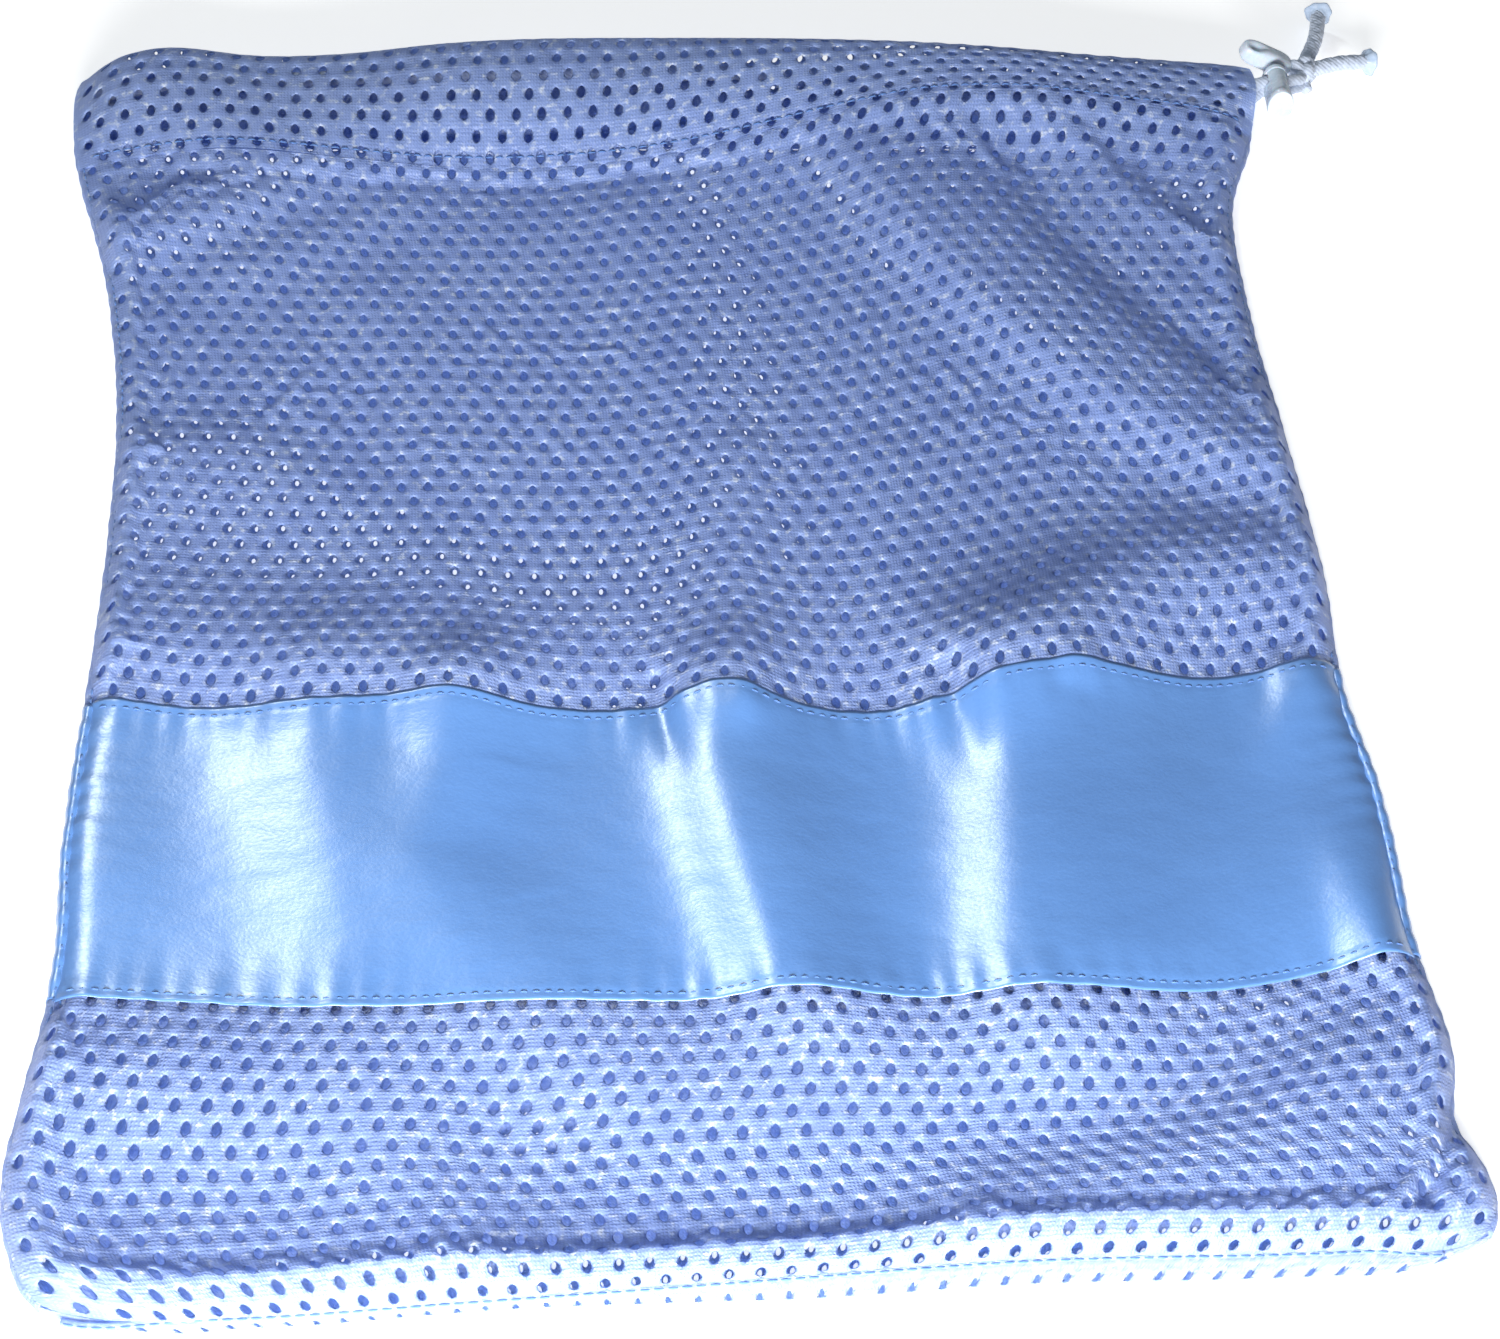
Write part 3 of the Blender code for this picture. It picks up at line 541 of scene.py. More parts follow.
# ---- materials ----------------------------------------------------------------------------------
class Nodes:
    """A material's node tree with short calls to add and wire nodes."""

    def __init__(self, name):
        self.material = bpy.data.materials.new(name)
        self.material.use_nodes = True
        self.tree = self.material.node_tree
        self.shader = self.tree.nodes["Principled BSDF"]

    def add(self, kind, **settings):
        node = self.tree.nodes.new(kind)
        for key, value in settings.items():
            if hasattr(node, key):
                setattr(node, key, value)
            else:
                node.inputs[key.replace("_", " ")].default_value = value
        return node

    def wire(self, source, target):
        self.tree.links.new(source, target)

    def set(self, **values):
        for key, value in values.items():
            self.shader.inputs[key.replace("_", " ")].default_value = value

    def mix(self, share, first, second):
        """A colour between two, by a share socket."""
        node = self.add("ShaderNodeMix", data_type="RGBA")
        self.wire(share, node.inputs["Factor"])
        for value, socket in ((first, node.inputs[6]), (second, node.inputs[7])):
            if isinstance(value, bpy.types.NodeSocket):
                self.wire(value, socket)
            else:
                socket.default_value = (*value, 1)
        return node.outputs[2]

    def math(self, operation, first, second=0.0):
        node = self.add("ShaderNodeMath", operation=operation)
        for value, socket in ((first, node.inputs[0]), (second, node.inputs[1])):
            if isinstance(value, bpy.types.NodeSocket):
                self.wire(value, socket)
            else:
                socket.default_value = value
        return node.outputs[0]

    def texture(self, kind, place, **settings):
        node = self.add(f"ShaderNodeTex{kind}", **settings)
        self.wire(place, node.inputs["Vector"])
        return node.outputs["Fac"]

    def noise(self, place, scale, detail):
        return self.texture("Noise", place, Scale=scale, Detail=detail)

    def weigh(self, *pairs):
        """The sum of sockets, each times its share."""
        total = None
        for socket, share in pairs:
            term = socket if share == 1 else self.math("MULTIPLY", socket, share)
            total = self.math("ADD", total, term) if total else term
        return total

    def bump(self, height, distance, strength):
        node = self.add("ShaderNodeBump", Distance=distance, Strength=strength)
        self.wire(height, node.inputs["Height"])
        self.wire(node.outputs["Normal"], self.shader.inputs["Normal"])

    def colour(self, share, first, second):
        self.wire(self.mix(share, first, second), self.shader.inputs["Base Color"])

    def rough(self, socket, share, least):
        value = self.math("ADD", self.math("MULTIPLY", socket, share), least)
        self.wire(value, self.shader.inputs["Roughness"])

    def let_light_through(self, share, colour):
        """Mixes in light that has passed through the cloth."""
        glow = self.add("ShaderNodeBsdfTranslucent", Color=(*colour, 1))
        both = self.add("ShaderNodeMixShader")
        both.inputs[0].default_value = share
        out = self.tree.nodes["Material Output"]
        self.wire(self.shader.outputs[0], both.inputs[1])
        self.wire(glow.outputs[0], both.inputs[2])
        self.wire(both.outputs[0], out.inputs["Surface"])

    def cloth_place(self):
        return self.add("ShaderNodeAttribute", attribute_name="cloth").outputs["Vector"]

    def object_place(self):
        return self.add("ShaderNodeTexCoord").outputs["Object"]


def make_mesh_cloth(name="mesh_cloth", light=(0.43, 0.56, 0.87), dark=(0.28, 0.39, 0.74), glint_level=0.56):
    """Warp-knitted polyester: fine courses across and a soft sheen; its raised threads and knots are
    painted lighter, and the highest knots carry painted near-white glints.
    """
    n = Nodes(name)
    place = n.cloth_place()
    course = n.texture("Wave", place, Scale=340.0, Distortion=2.2, Detail=2.0, Detail_Scale=2.0,
                       bands_direction="Y")
    wale = n.texture("Wave", place, Scale=420.0, Distortion=1.5, Detail=1.0, bands_direction="X")
    fuzz = n.noise(place, 1500.0, 3.0)
    patch = n.noise(place, 60.0, 4.0)
    knot = n.noise(place, 520.0, 3.0)
    thread = n.math("MULTIPLY", course, wale)
    n.bump(n.weigh((thread, 0.6), (fuzz, 1.1), (knot, 1.6)), 0.00022, 0.9)
    # Tone: random patches, with the raised threads and knots painted lighter as painted highlight.
    tone = n.weigh((patch, 0.7), (thread, 0.4), (knot, 0.5))
    body = n.mix(n.math("SUBTRACT", tone, 0.35), dark, light)
    # Painted glints: the highest knots, within the patches, are painted near-white.
    shine = n.math("MULTIPLY", n.math("SUBTRACT", knot, glint_level), 14.0)
    clamp = n.add("ShaderNodeClamp")
    n.wire(n.math("MULTIPLY", shine, patch), clamp.inputs[0])
    n.colour(clamp.outputs[0], body, (0.80, 0.88, 0.98))
    n.rough(fuzz, 0.25, 0.28)
    n.set(Specular_IOR_Level=0.8, Sheen_Weight=0.2, Sheen_Roughness=0.4)
    n.shader.inputs["Sheen Tint"].default_value = (0.80, 0.86, 1.0, 1)
    n.let_light_through(0.42, (0.54, 0.68, 0.97))
    return n.material


def make_satin():
    """Satin weave: wide soft highlights, broken up by the grain of its long floats."""
    n = Nodes("satin")
    stretched = n.add("ShaderNodeMapping")
    stretched.inputs["Scale"].default_value = (0.8, 1.0, 1.0)
    n.wire(n.cloth_place(), stretched.inputs["Vector"])
    place = stretched.outputs[0]
    slub = n.noise(place, 1300.0, 3.0)
    cloud = n.noise(place, 30.0, 4.0)
    crease = n.noise(place, 90.0, 2.0)
    n.bump(n.weigh((crease, 6.0), (slub, 1)), 0.00007, 0.7)
    n.colour(n.weigh((cloud, 0.6), (slub, 0.4)), (0.085, 0.23, 0.59), (0.14, 0.325, 0.73))
    n.rough(slub, 0.16, 0.25)
    n.set(Specular_IOR_Level=1.0, IOR=1.85, Coat_Weight=0.25, Coat_Roughness=0.42)
    return n.material


def make_thread(name, colour):
    """Twisted sewing thread, darker in the grooves of its twist: painted shade."""
    n = Nodes(name)
    twist = n.texture("Wave", n.cloth_place(), Scale=700.0, bands_direction="DIAGONAL")
    n.bump(twist, 0.00008, 0.8)
    # The twist's grooves are painted darker than its crests: painted shade.
    n.colour(twist, tuple(0.72 * c for c in colour), colour)
    n.set(Roughness=0.55, Sheen_Weight=0.3)
    return n.material


def make_cord():
    """Soft braid, a little grubby in random patches."""
    n = Nodes("cord")
    place = n.object_place()
    yarn = n.texture("Wave", place, Scale=420.0, Distortion=1.0, Detail=2.0, bands_direction="DIAGONAL")
    fuzz = n.noise(place, 2200.0, 3.0)
    soil = n.noise(place, 160.0, 3.0)
    n.bump(n.weigh((yarn, 1), (fuzz, 0.7)), 0.0001, 0.7)
    n.colour(soil, (0.36, 0.44, 0.60), (0.60, 0.66, 0.78))
    n.set(Roughness=0.72, Sheen_Weight=0.35)
    return n.material


def make_melted_cord():
    n = Nodes("melted_cord")
    lump = n.noise(n.object_place(), 700.0, 2.0)
    n.bump(lump, 0.0004, 0.6)
    # Colour follows the lumps: the dips between them are painted darker, as painted shade.
    n.colour(lump, (0.32, 0.44, 0.62), (0.52, 0.60, 0.74))
    n.set(Roughness=0.38)
    return n.material


def make_lock_plastic():
    """Milky moulded plastic: light passes a little way in, with faint scuffs on its shine."""
    n = Nodes("lock_plastic")
    place = n.object_place()
    scuff = n.noise(place, 900.0, 4.0)
    cloud = n.noise(place, 220.0, 2.0)
    n.bump(scuff, 0.00004, 0.4)
    n.colour(cloud, (0.44, 0.58, 0.72), (0.68, 0.71, 0.77))
    n.rough(scuff, 0.3, 0.12)
    n.set(Subsurface_Weight=0.2, Subsurface_Scale=0.0015, IOR=1.49)
    return n.material


def make_spring_steel():
    n = Nodes("spring_steel")
    drawn = n.noise(n.object_place(), 4000.0, 2.0)
    n.colour(drawn, (0.45, 0.45, 0.47), (0.66, 0.66, 0.68))
    n.set(Metallic=1.0, Roughness=0.3)
    return n.material


mesh_cloth = make_mesh_cloth()
# The back cloth is a paler copy of the mesh cloth with more glints: painted light, so that the back
# layer, shaded by the front one, reads lighter through the holes.
painted_lighter_back_cloth = make_mesh_cloth("mesh_cloth_back_painted_lighter", (0.66, 0.78, 0.97), (0.46, 0.58, 0.90), 0.5)
satin = make_satin()
blue_thread = make_thread("thread", (0.10, 0.24, 0.62))
cord = make_cord()
melted_cord = make_melted_cord()
lock_plastic = make_lock_plastic()
spring_steel = make_spring_steel()


# ---- the sheets ---------------------------------------------------------------------------------
SIM_FRAMES = 14
SIM_CAP = 2.5                   # farthest that the simulation may move the cloth
SIM_EVEN = 40                   # smoothing steps of its moves on the satin, which shows every ripple
SIM_FLOOR_Z = 1.2               # the back cloth, which the front cloth can come to rest on


def relax(sheet):
    """Lets a sheet settle under its own weight between its sewn edges, by cloth simulation."""
    rows, columns = sheet.points.shape[:2]
    rest = sheet.points.reshape(-1, 3)
    obj = make_object("settling cloth", rest, grid_faces(rows, columns).tolist(), mesh_cloth)
    w = np.repeat(np.linspace(*sheet.w_range, rows), columns)
    u = np.tile(np.linspace(0, 1, columns), rows)
    sewn = (u < 0.02) | (u > 0.98) | (w < ROLL_LENGTH) | (w > sheet.w_range[1] - 3)
    pins = obj.vertex_groups.new(name="sewn")
    pins.add(np.flatnonzero(sewn).tolist(), 1.0, "REPLACE")
    floor_mesh = bpy.data.meshes.new("settling floor")
    corners = ((-0.3, -0.3), (0.3, -0.3), (0.3, 0.3), (-0.3, 0.3))
    floor_mesh.from_pydata([(x, y, SIM_FLOOR_Z * MM) for x, y in corners], [], [(0, 1, 2, 3)])
    floor_obj = link("settling floor", floor_mesh)
    floor_obj.modifiers.new("stop", "COLLISION")
    floor_obj.collision.thickness_outer = 0.001
    cloth = obj.modifiers.new("cloth", "CLOTH")
    for key, value in (
        ("quality", 5), ("mass", 0.15), ("tension_stiffness", 12), ("compression_stiffness", 12),
        ("shear_stiffness", 6), ("bending_stiffness", 0.02), ("vertex_group_mass", "sewn"),
        ("shrink_min", -0.015),
    ):
        setattr(cloth.settings, key, value)
    cloth.settings.effector_weights.gravity = 0.12
    cloth.collision_settings.distance_min = 0.001
    scene = bpy.context.scene
    for step in range(1, SIM_FRAMES + 1):
        scene.frame_set(step)
    graph = bpy.context.evaluated_depsgraph_get()
    settled = obj.evaluated_get(graph).data
    points = np.zeros(len(settled.vertices) * 3)
    settled.vertices.foreach_get("co", points)
    moved = points.reshape(-1, 3) / MM - rest
    far = np.linalg.norm(moved, axis=1, keepdims=True)
    moved = (moved * np.minimum(1, SIM_CAP / np.maximum(far, 1e-9))).reshape(rows, columns, 3)
    even = moved
    for _ in range(SIM_EVEN):
        even = np.pad(even, ((1, 1), (1, 1), (0, 0)), "edge")
        even = (even[:-2, 1:-1] + even[2:, 1:-1] + even[1:-1, :-2] + even[1:-1, 2:]) / 4
    w = w.reshape(rows, columns, 1)
    in_band = ease((w - BAND_START + 8) / 6) * ease((BAND_END + 8 - w) / 6)
    sheet.points = rest.reshape(rows, columns, 3) + moved + (even - moved) * in_band
    sheet.find_normals()
    scene.frame_set(1)
    bpy.data.objects.remove(obj)
    bpy.data.objects.remove(floor_obj)


def hem_section(corners, count):
    """Evenly spaced points of a smooth line through corners."""
    line = smooth_path(corners, count=160)
    length = distances(line)
    even = np.linspace(0, length[-1], count)
    return np.stack([np.interp(even, length, line[:, k]) for k in range(2)], -1)


HEM_ROWS = 15
HEM_LENGTH = HEM_ROWS * ROW


def make_hem_sheet(on_front):
    """The hem, folded over the cord: up the outside, round the top edge and back down inside."""
    across, along = 150, 60
    u = np.linspace(0, 1, across + 1)
    guess = LEFT_X + 2 + (RIGHT_X - LEFT_X - 2) * u
    points = np.zeros((along + 1, across + 1, 3))
    for k, x in enumerate(guess):
        foot, foot_z = float(hem_foot_line(x)), float(hem_foot_height(x))
        top, crest = float(mouth_line(x)), float(hem_crest_height(x))
        wave = 0.5 * math.sin(x / 11.0) + 0.35 * math.sin(x / 4.7 + 1)
        inner = 2.8 + 0.40 * (crest - 6) + 0.3 * math.sin(x / 15)
        if on_front:
            section = (
                (foot, foot_z),
                (foot + 0.36 * (top - foot), foot_z + 0.72 * (crest - foot_z) + wave * 0.5),
                (foot + 0.70 * (top - foot), crest + wave * 0.4), (top - 1.5, crest - 1.6),
                (top, crest - 3.6), (top - 1.8, max(inner, crest - 7)), (foot + 12, inner),
                (foot + 1, min(foot_z - 1.0, inner + 2)),
            )
        else:
            high = inner - 1.4
            section = (
                (HEM_FOOT_Y, 1.1), (HEM_FOOT_Y + 12, 1.1), (top - 4, 1.15),
                (top - 0.5, 0.8 + high * 0.35), (top - 3.5, high),
                (HEM_FOOT_Y + 12, high * 0.9), (HEM_FOOT_Y + 1, min(2.3, high)),
            )
        line = hem_section(section, along + 1)
        y, z = line[:, 0], line[:, 1]
        place = place_across(u[k], y)
        inset = min(u[k], 1 - u[k]) * 300
        pressed = 0.75 if u[k] < 0.5 else 0.75 - 0.6 * ease((y - 245) / 8)
        z = EDGE_Z + 0.6 + (z - EDGE_Z - 0.6) * (1 - math.exp(-((inset / 5.0) ** 1.2)) * pressed)
        points[:, k] = np.stack([place, y, z], -1)
    return Sheet(points, (0.0, HEM_LENGTH), flip=not on_front)


def lay_out(shape, across, along, flip=False):
    """A sheet of cloth from the bottom seam to the hem."""
    u, w = np.meshgrid(np.linspace(0, 1, across + 1), np.linspace(0, HEM_START, along + 1))
    return Sheet(shape(u, w), (0, HEM_START), flip)


front = lay_out(front_cloth, 130, 190)
back = lay_out(back_cloth, 110, 170, flip=True)
relax(front)
hem_front_sheet = make_hem_sheet(True)
hem_back_sheet = make_hem_sheet(False)

# ---- mesh cloth ---------------------------------------------------------------------------------
BAG = "bag"
DRAW_RIGHT, DRAW_LEFT = RIGHT_X - 8, LEFT_X + 5     # right and left ends of the drawn span, which the cut runs between
DRAW_START_Y, DRAW_END_Y = BAND_TOP + 10, HEM_FOOT_Y - 10


def blend_across(obj):
    """Bakes the object's placing into its points."""
    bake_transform(obj)


def blend_along(obj):
    """Bakes the object's placing into its points."""
    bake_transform(obj)


def cut_in_two(obj, names):
    """Cuts a panel along the upright plane through the drawn span's lower right and upper left corners:
    left piece, right piece.
    """
    corner = Vector((DRAW_RIGHT, DRAW_START_Y, 0)) * MM
    run = Vector((DRAW_LEFT - DRAW_RIGHT, DRAW_END_Y - DRAW_START_Y, 0))
    across = Vector((-run.y, run.x, 0)).normalized()
    pieces = []
    for name, side in zip(names, (True, False)):
        mesh = obj.data.copy()
        bm = bmesh.new()
        bm.from_mesh(mesh)
        bmesh.ops.bisect_plane(
            bm, geom=bm.verts[:] + bm.edges[:] + bm.faces[:], plane_co=corner, plane_no=across,
            clear_inner=side, clear_outer=not side,
        )
        bm.to_mesh(mesh)
        bm.free()
        mesh.name = name
        pieces.append(link(name, mesh))
    bpy.data.objects.remove(obj)
    return pieces


def in_slot(obj, slot, *nodes):
    if nodes:
        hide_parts(*nodes)
    return obj


LOWER_START, LOWER_ROWS, LOWER_PITCH = 0.4, 17, 4.8
UPPER_ROWS = 39
upper_start = BAND_END - TUCK
upper_pitch = (HEM_START + 0.5 - upper_start) / UPPER_ROWS
PANELS = (
    ("front", front, mesh_cloth, {"per_edge": 3, "rim": FINE_RIM, "hole": HOLE}),
    ("back", back, painted_lighter_back_cloth, {"per_edge": 2, "rim": COARSE_RIM, "hole": (0.5, 0.85)}),
)
for label, sheet, material, cell in PANELS:
    whole = perforate(f"upper_mesh_{label}_whole", sheet, upper_start, UPPER_ROWS, material,
                      stretch=upper_pitch, **cell)
    names = (f"upper_mesh_{label}_left", f"upper_mesh_{label}_right")
    for piece, blend in zip(cut_in_two(whole, names), (blend_along, blend_across)):
        blend(in_slot(piece, "mesh_cloth", f"upper_mesh_{label}"))
    lower = perforate(f"lower_mesh_{label}_cloth", sheet, LOWER_START, LOWER_ROWS, material,
                      stretch=LOWER_PITCH, parity=1, **cell)
    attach(in_slot(lower, "mesh_cloth", f"lower_mesh_{label}"), BAG)
HEMS = (("front", hem_front_sheet), ("back", hem_back_sheet))
for label, sheet in HEMS:
    hem = perforate(f"hem_{label}", sheet, 0.0, HEM_ROWS, mesh_cloth, parity=1)
    nodes = ("casing_front", "casing_end") if label == "front" else ("casing_back",)
    blend_across(in_slot(hem, "mesh_cloth", *nodes))


# ---- satin band ---------------------------------------------------------------------------------
PUCKERS = rng.uniform(0, 2 * math.pi, 6)
SATIN_LAP, STITCH_INSET = 0.8, 1.4      # satin past its seam line, and stitches inside that line
SATIN_LOW = 0.38                # lowest that a pucker may dip, clear of the mesh below


def pucker(x, distance, reach, high):
    """Small gathers along x that run out from a line of stitches."""
    wave = (np.sin(x / 1.15 + PUCKERS[0] + 1.6 * np.sin(x / 9 + PUCKERS[1]))
            + 0.7 * np.sin(x / 2.3 + PUCKERS[2] + np.sin(x / 21 + PUCKERS[3])))
    strength = 0.5 + 0.5 * np.sin(x / 17 + PUCKERS[4]) * np.sin(x / 41 + PUCKERS[5])
    return high * wave * strength * np.exp(-distance / reach)


def make_satin_band(label, sheet, proud, gather):
    across, along = 330, 110
    w = np.linspace(BAND_START - SATIN_LAP, BAND_END + SATIN_LAP, along + 1)
    u, w = np.meshgrid(np.linspace(0.003, 0.997, across + 1), w)
    from_edge = np.minimum(w - w.min(), w.max() - w)
    from_side = np.minimum(u, 1 - u) * WIDTH
    from_stitch = np.abs(from_edge - SATIN_LAP - STITCH_INSET)
    edge, groove = np.exp(-((from_edge / 0.9) ** 2)), np.exp(-((from_stitch / 0.7) ** 2))
    lift = proud - 0.05 * edge - 0.14 * groove
    lift = lift + pucker(WIDTH * u, from_stitch, 5.5, gather)
    lift = np.maximum(lift + pucker(w, from_side, 6.0, gather * 1.1), SATIN_LOW)
    points = sheet.at(u, w, lift).reshape(-1, 3)
    layout = np.stack([u.ravel() * WIDTH, w.ravel()], -1)
    faces = grid_faces(along + 1, across + 1, flip=label == "back").tolist()
    band = make_object(f"satin_band_{label}_cloth", points, faces, satin, layout)
    solid = band.modifiers.new("cloth thickness", "SOLIDIFY")
    solid.thickness = 0.12 * MM
    solid.offset = -1.0
    flat_map = band.data.uv_layers.new(name="weave")
    loops = np.zeros(len(band.data.loops), int)
    band.data.loops.foreach_get("vertex_index", loops)
    flat_map.data.foreach_set("uv", (layout[loops] / WIDTH).astype(np.float32).ravel())
    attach(in_slot(band, "satin", f"satin_band_{label}"), BAG)


make_satin_band("front", front, 0.54, 0.26)
make_satin_band("back", back, 0.5, 0.06)


# ---- stitching ----------------------------------------------------------------------------------
def across_line(sheet, w, lift):
    """A line of stitches that runs across a sheet."""
    def line(q):
        u = 0.012 + 0.976 * q
        at = np.full_like(u, w)
        return sheet.at(u, at, lift), sheet.normal(u, at)
    return line


STITCH_COUNT, HEM_STITCH_W = 112, 2.6    # stitches across the bag, and where the hem's run
for label, sheet, lift in (("front", front, 0.36), ("back", back, 0.3)):
    for edge, w in (("top", BAND_END - STITCH_INSET), ("bottom", BAND_START + STITCH_INSET)):
        node = f"satin_{edge}_stitching_{label}"
        run = stitch_run(f"{node}_thread", across_line(sheet, w, lift), STITCH_COUNT, blue_thread)
        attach(in_slot(run, "thread", node), BAG)
for label, sheet in HEMS:
    line = across_line(sheet, HEM_STITCH_W, 0.42)
    run = stitch_run(f"hem_stitching_{label}_thread", line, STITCH_COUNT, blue_thread)
    blend_across(in_slot(run, "thread", f"hem_stitching_{label}"))


# ---- side and bottom seams ----------------------------------------------------------------------
def seam_ripple(phase):
    """Slight puckers that the stitches pull into a seam."""
    def ripple(turn, along):
        beat = math.sin(along / 0.95 + phase) + 0.6 * math.sin(along / 2.7 + 2 * phase)
        return 1 + 0.07 * beat + 0.05 * np.cos(2 * turn + along / 5)
    return ripple


def side_points(side, y, inset, z):
    x = left_side(y) + inset if side == "left" else right_side(y) - inset
    return np.stack([x, y, np.full_like(y, z)], -1)


def bag_y(side, w):
    u = 0.0 if side == "left" else 1.0
    return float(front.at(u, w)[..., 1])


def hold_side(obj, leans):
    """The left side's pieces above the satin are baked in place, and the rest of the sides is attached
    to the bag.
    """
    if leans:
        blend_along(obj)
    else:
        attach(obj, BAG)


SIDE_STITCH = 2.8               # length of one stitch and its gap
for side in ("left", "right"):
    corner_y = bag_y(side, 1.0)
    low_y, high_y = bag_y(side, BAND_START), bag_y(side, BAND_END)
    top_y = float(mouth_line(LEFT_X + 1 if side == "left" else RIGHT_X)) - 1
    parts = (
        ("lower", corner_y, low_y, mesh_cloth, "mesh_cloth", 1.35),
        ("satin", low_y, high_y, satin, "satin", 1.6),
        ("upper", high_y, top_y, mesh_cloth, "mesh_cloth", 1.35),
    )
    for part, start, stop, material, slot, radius in parts:
        y = np.linspace(start, stop, max(int((stop - start) / 0.8), 8))
        seam = tube(f"side_seam_{side}_{part}", side_points(side, y, 1.0, 2.0), radius, material,
                    sides=14, ripple=seam_ripple(len(part) + len(side)), flat=1.1)
        hold_side(in_slot(seam, slot, f"side_seam_{side}"), side == "left" and part == "upper")

    for part, start, stop in (("low", corner_y + 3, high_y), ("high", high_y, top_y - 2)):
        def seam_line(q, side=side, start=start, stop=stop):
            points = side_points(side, start + (stop - start) * q, 1.2, 3.42)
            return points, np.tile([0.0, 0.0, 1.0], (len(q), 1))
        count = int((stop - start) / SIDE_STITCH)
        run = stitch_run(f"side_stitching_{side}_{part}", seam_line, count, blue_thread)
        in_slot(run, "thread", f"side_stitching_{side}")
        hold_side(run, side == "left" and part == "high")


SEAM_LEFT, SEAM_RIGHT = -138, 136       # ends of the bottom seam
SEAM_RADIUS, SEAM_STITCHES = 0.75, 98


def bottom_seam_at(x):
    return np.stack([x, bottom_line(x), bottom_seam_z(x, SEAM_Z)], -1)


seam = tube("bottom_seam_cloth", bottom_seam_at(np.linspace(SEAM_LEFT, SEAM_RIGHT, 360)), SEAM_RADIUS,
            mesh_cloth, sides=12, ripple=seam_ripple(2.0))
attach(in_slot(seam, "mesh_cloth", "bottom_seam"), BAG)


def bottom_line_of_stitches(q):
    facing = np.tile(np.array([0.0, -0.8, 0.6]), (len(q), 1))
    return bottom_seam_at(SEAM_LEFT + (SEAM_RIGHT - SEAM_LEFT) * q) + facing * 0.8, facing


run = stitch_run("bottom_stitching_thread", bottom_line_of_stitches, SEAM_STITCHES, blue_thread)
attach(in_slot(run, "thread", "bottom_stitching"), BAG)


# ---- cord ---------------------------------------------------------------------------------------
CORD_RADIUS = 1.9
LOCK = (lock_low + lock_high) / 2       # middle of the lock's cord hole
LOCK.x, LOCK.y = LOCK.x - 1.2, lock_low.y + 8.7
KNOT = (knot_low + knot_high) / 2 + Vector((-1.8, 0.8, 0))


def braid(turn, along):
    """Eight yarns crossing over one another."""
    lay = along / 0.62
    over = np.maximum(np.cos(4 * turn + lay), np.cos(4 * turn - lay))
    return 0.95 + 0.075 * over


lock_in, lock_out = LOCK.x - 3.0, LOCK.x + 3.0
exit_x = RIGHT_X - 3
front_lane, back_lane = LOCK.z + 1.45, LOCK.z - 1.45
loop = smooth_path((
    (lock_out, LOCK.y, front_lane), (lock_in, LOCK.y, front_lane), (exit_x + 3, 256.5, 8.6),
    (exit_x - 6, 255.5, 6.9), (120, 256, 8.6), (60, 258, 12), (0, 258, 12), (-100, 257, 10.5),
    (-140, 256, 8.4), (-149, 255, 6.0), (-149.5, 254.5, 4.0), (-143, 254, 2.9), (-100, 254, 2.9),
    (60, 255, 2.9), (120, 255, 2.8), (exit_x - 4, 255, 3.4), (exit_x + 4, 256.5, 4.8),
    (lock_in, LOCK.y, back_lane), (lock_out, LOCK.y, back_lane),
), spacing=0.5)
pinch = 1 - 0.3 * np.exp(-(((loop[:, 0] - LOCK.x) / 4.5) ** 2))
pinch = pinch * (1 - 0.22 * (np.abs(loop[:, 0]) < 140) * (loop[:, 2] < 5))
cord_loop = tube("drawcord_loop", loop, CORD_RADIUS * pinch, cord, sides=20, ripple=braid)
blend_across(in_slot(cord_loop, "cord", "drawcord"))

for label, lane, way in (("front", front_lane, 1), ("back", back_lane, -1)):
    path = smooth_path((
        (lock_out - 0.5, LOCK.y, lane), (lock_out + 1.5, LOCK.y + 0.8, lane),
        (KNOT.x - 1.5, KNOT.y - 5.0, KNOT.z + way * 1.3),
        (KNOT.x - 0.5, KNOT.y - 0.6, KNOT.z + way * 0.6),
    ), spacing=0.25)
    run = tube(f"cord_run_{label}", path, CORD_RADIUS * 0.78, cord, sides=20, ripple=braid)
    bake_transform(run)

turn = np.linspace(0, 2 * math.pi, 130)
knot_size = 2.6
knot_path = np.stack([
    KNOT.x + knot_size * (np.sin(turn) + 2 * np.sin(2 * turn)) / 3,
    KNOT.y + knot_size * (np.cos(turn) - 2 * np.cos(2 * turn)) / 3,
    KNOT.z - knot_size * 0.62 * np.sin(3 * turn),
], -1)
knot = tube("cord_knot_braid", knot_path, CORD_RADIUS * 0.98, cord, sides=24, ripple=braid)
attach(in_slot(knot, "cord", "cord_knot"), "cord_pull")

path = smooth_path((
    (KNOT.x, KNOT.y - 1, KNOT.z - 1), (KNOT.x + 0.8, KNOT.y - 5.4, KNOT.z - 2.2),
), spacing=0.25)
stub = tube("cord_knot_stub", path, CORD_RADIUS * 0.8, cord, ripple=braid)
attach(in_slot(stub, "cord"), "cord_pull")

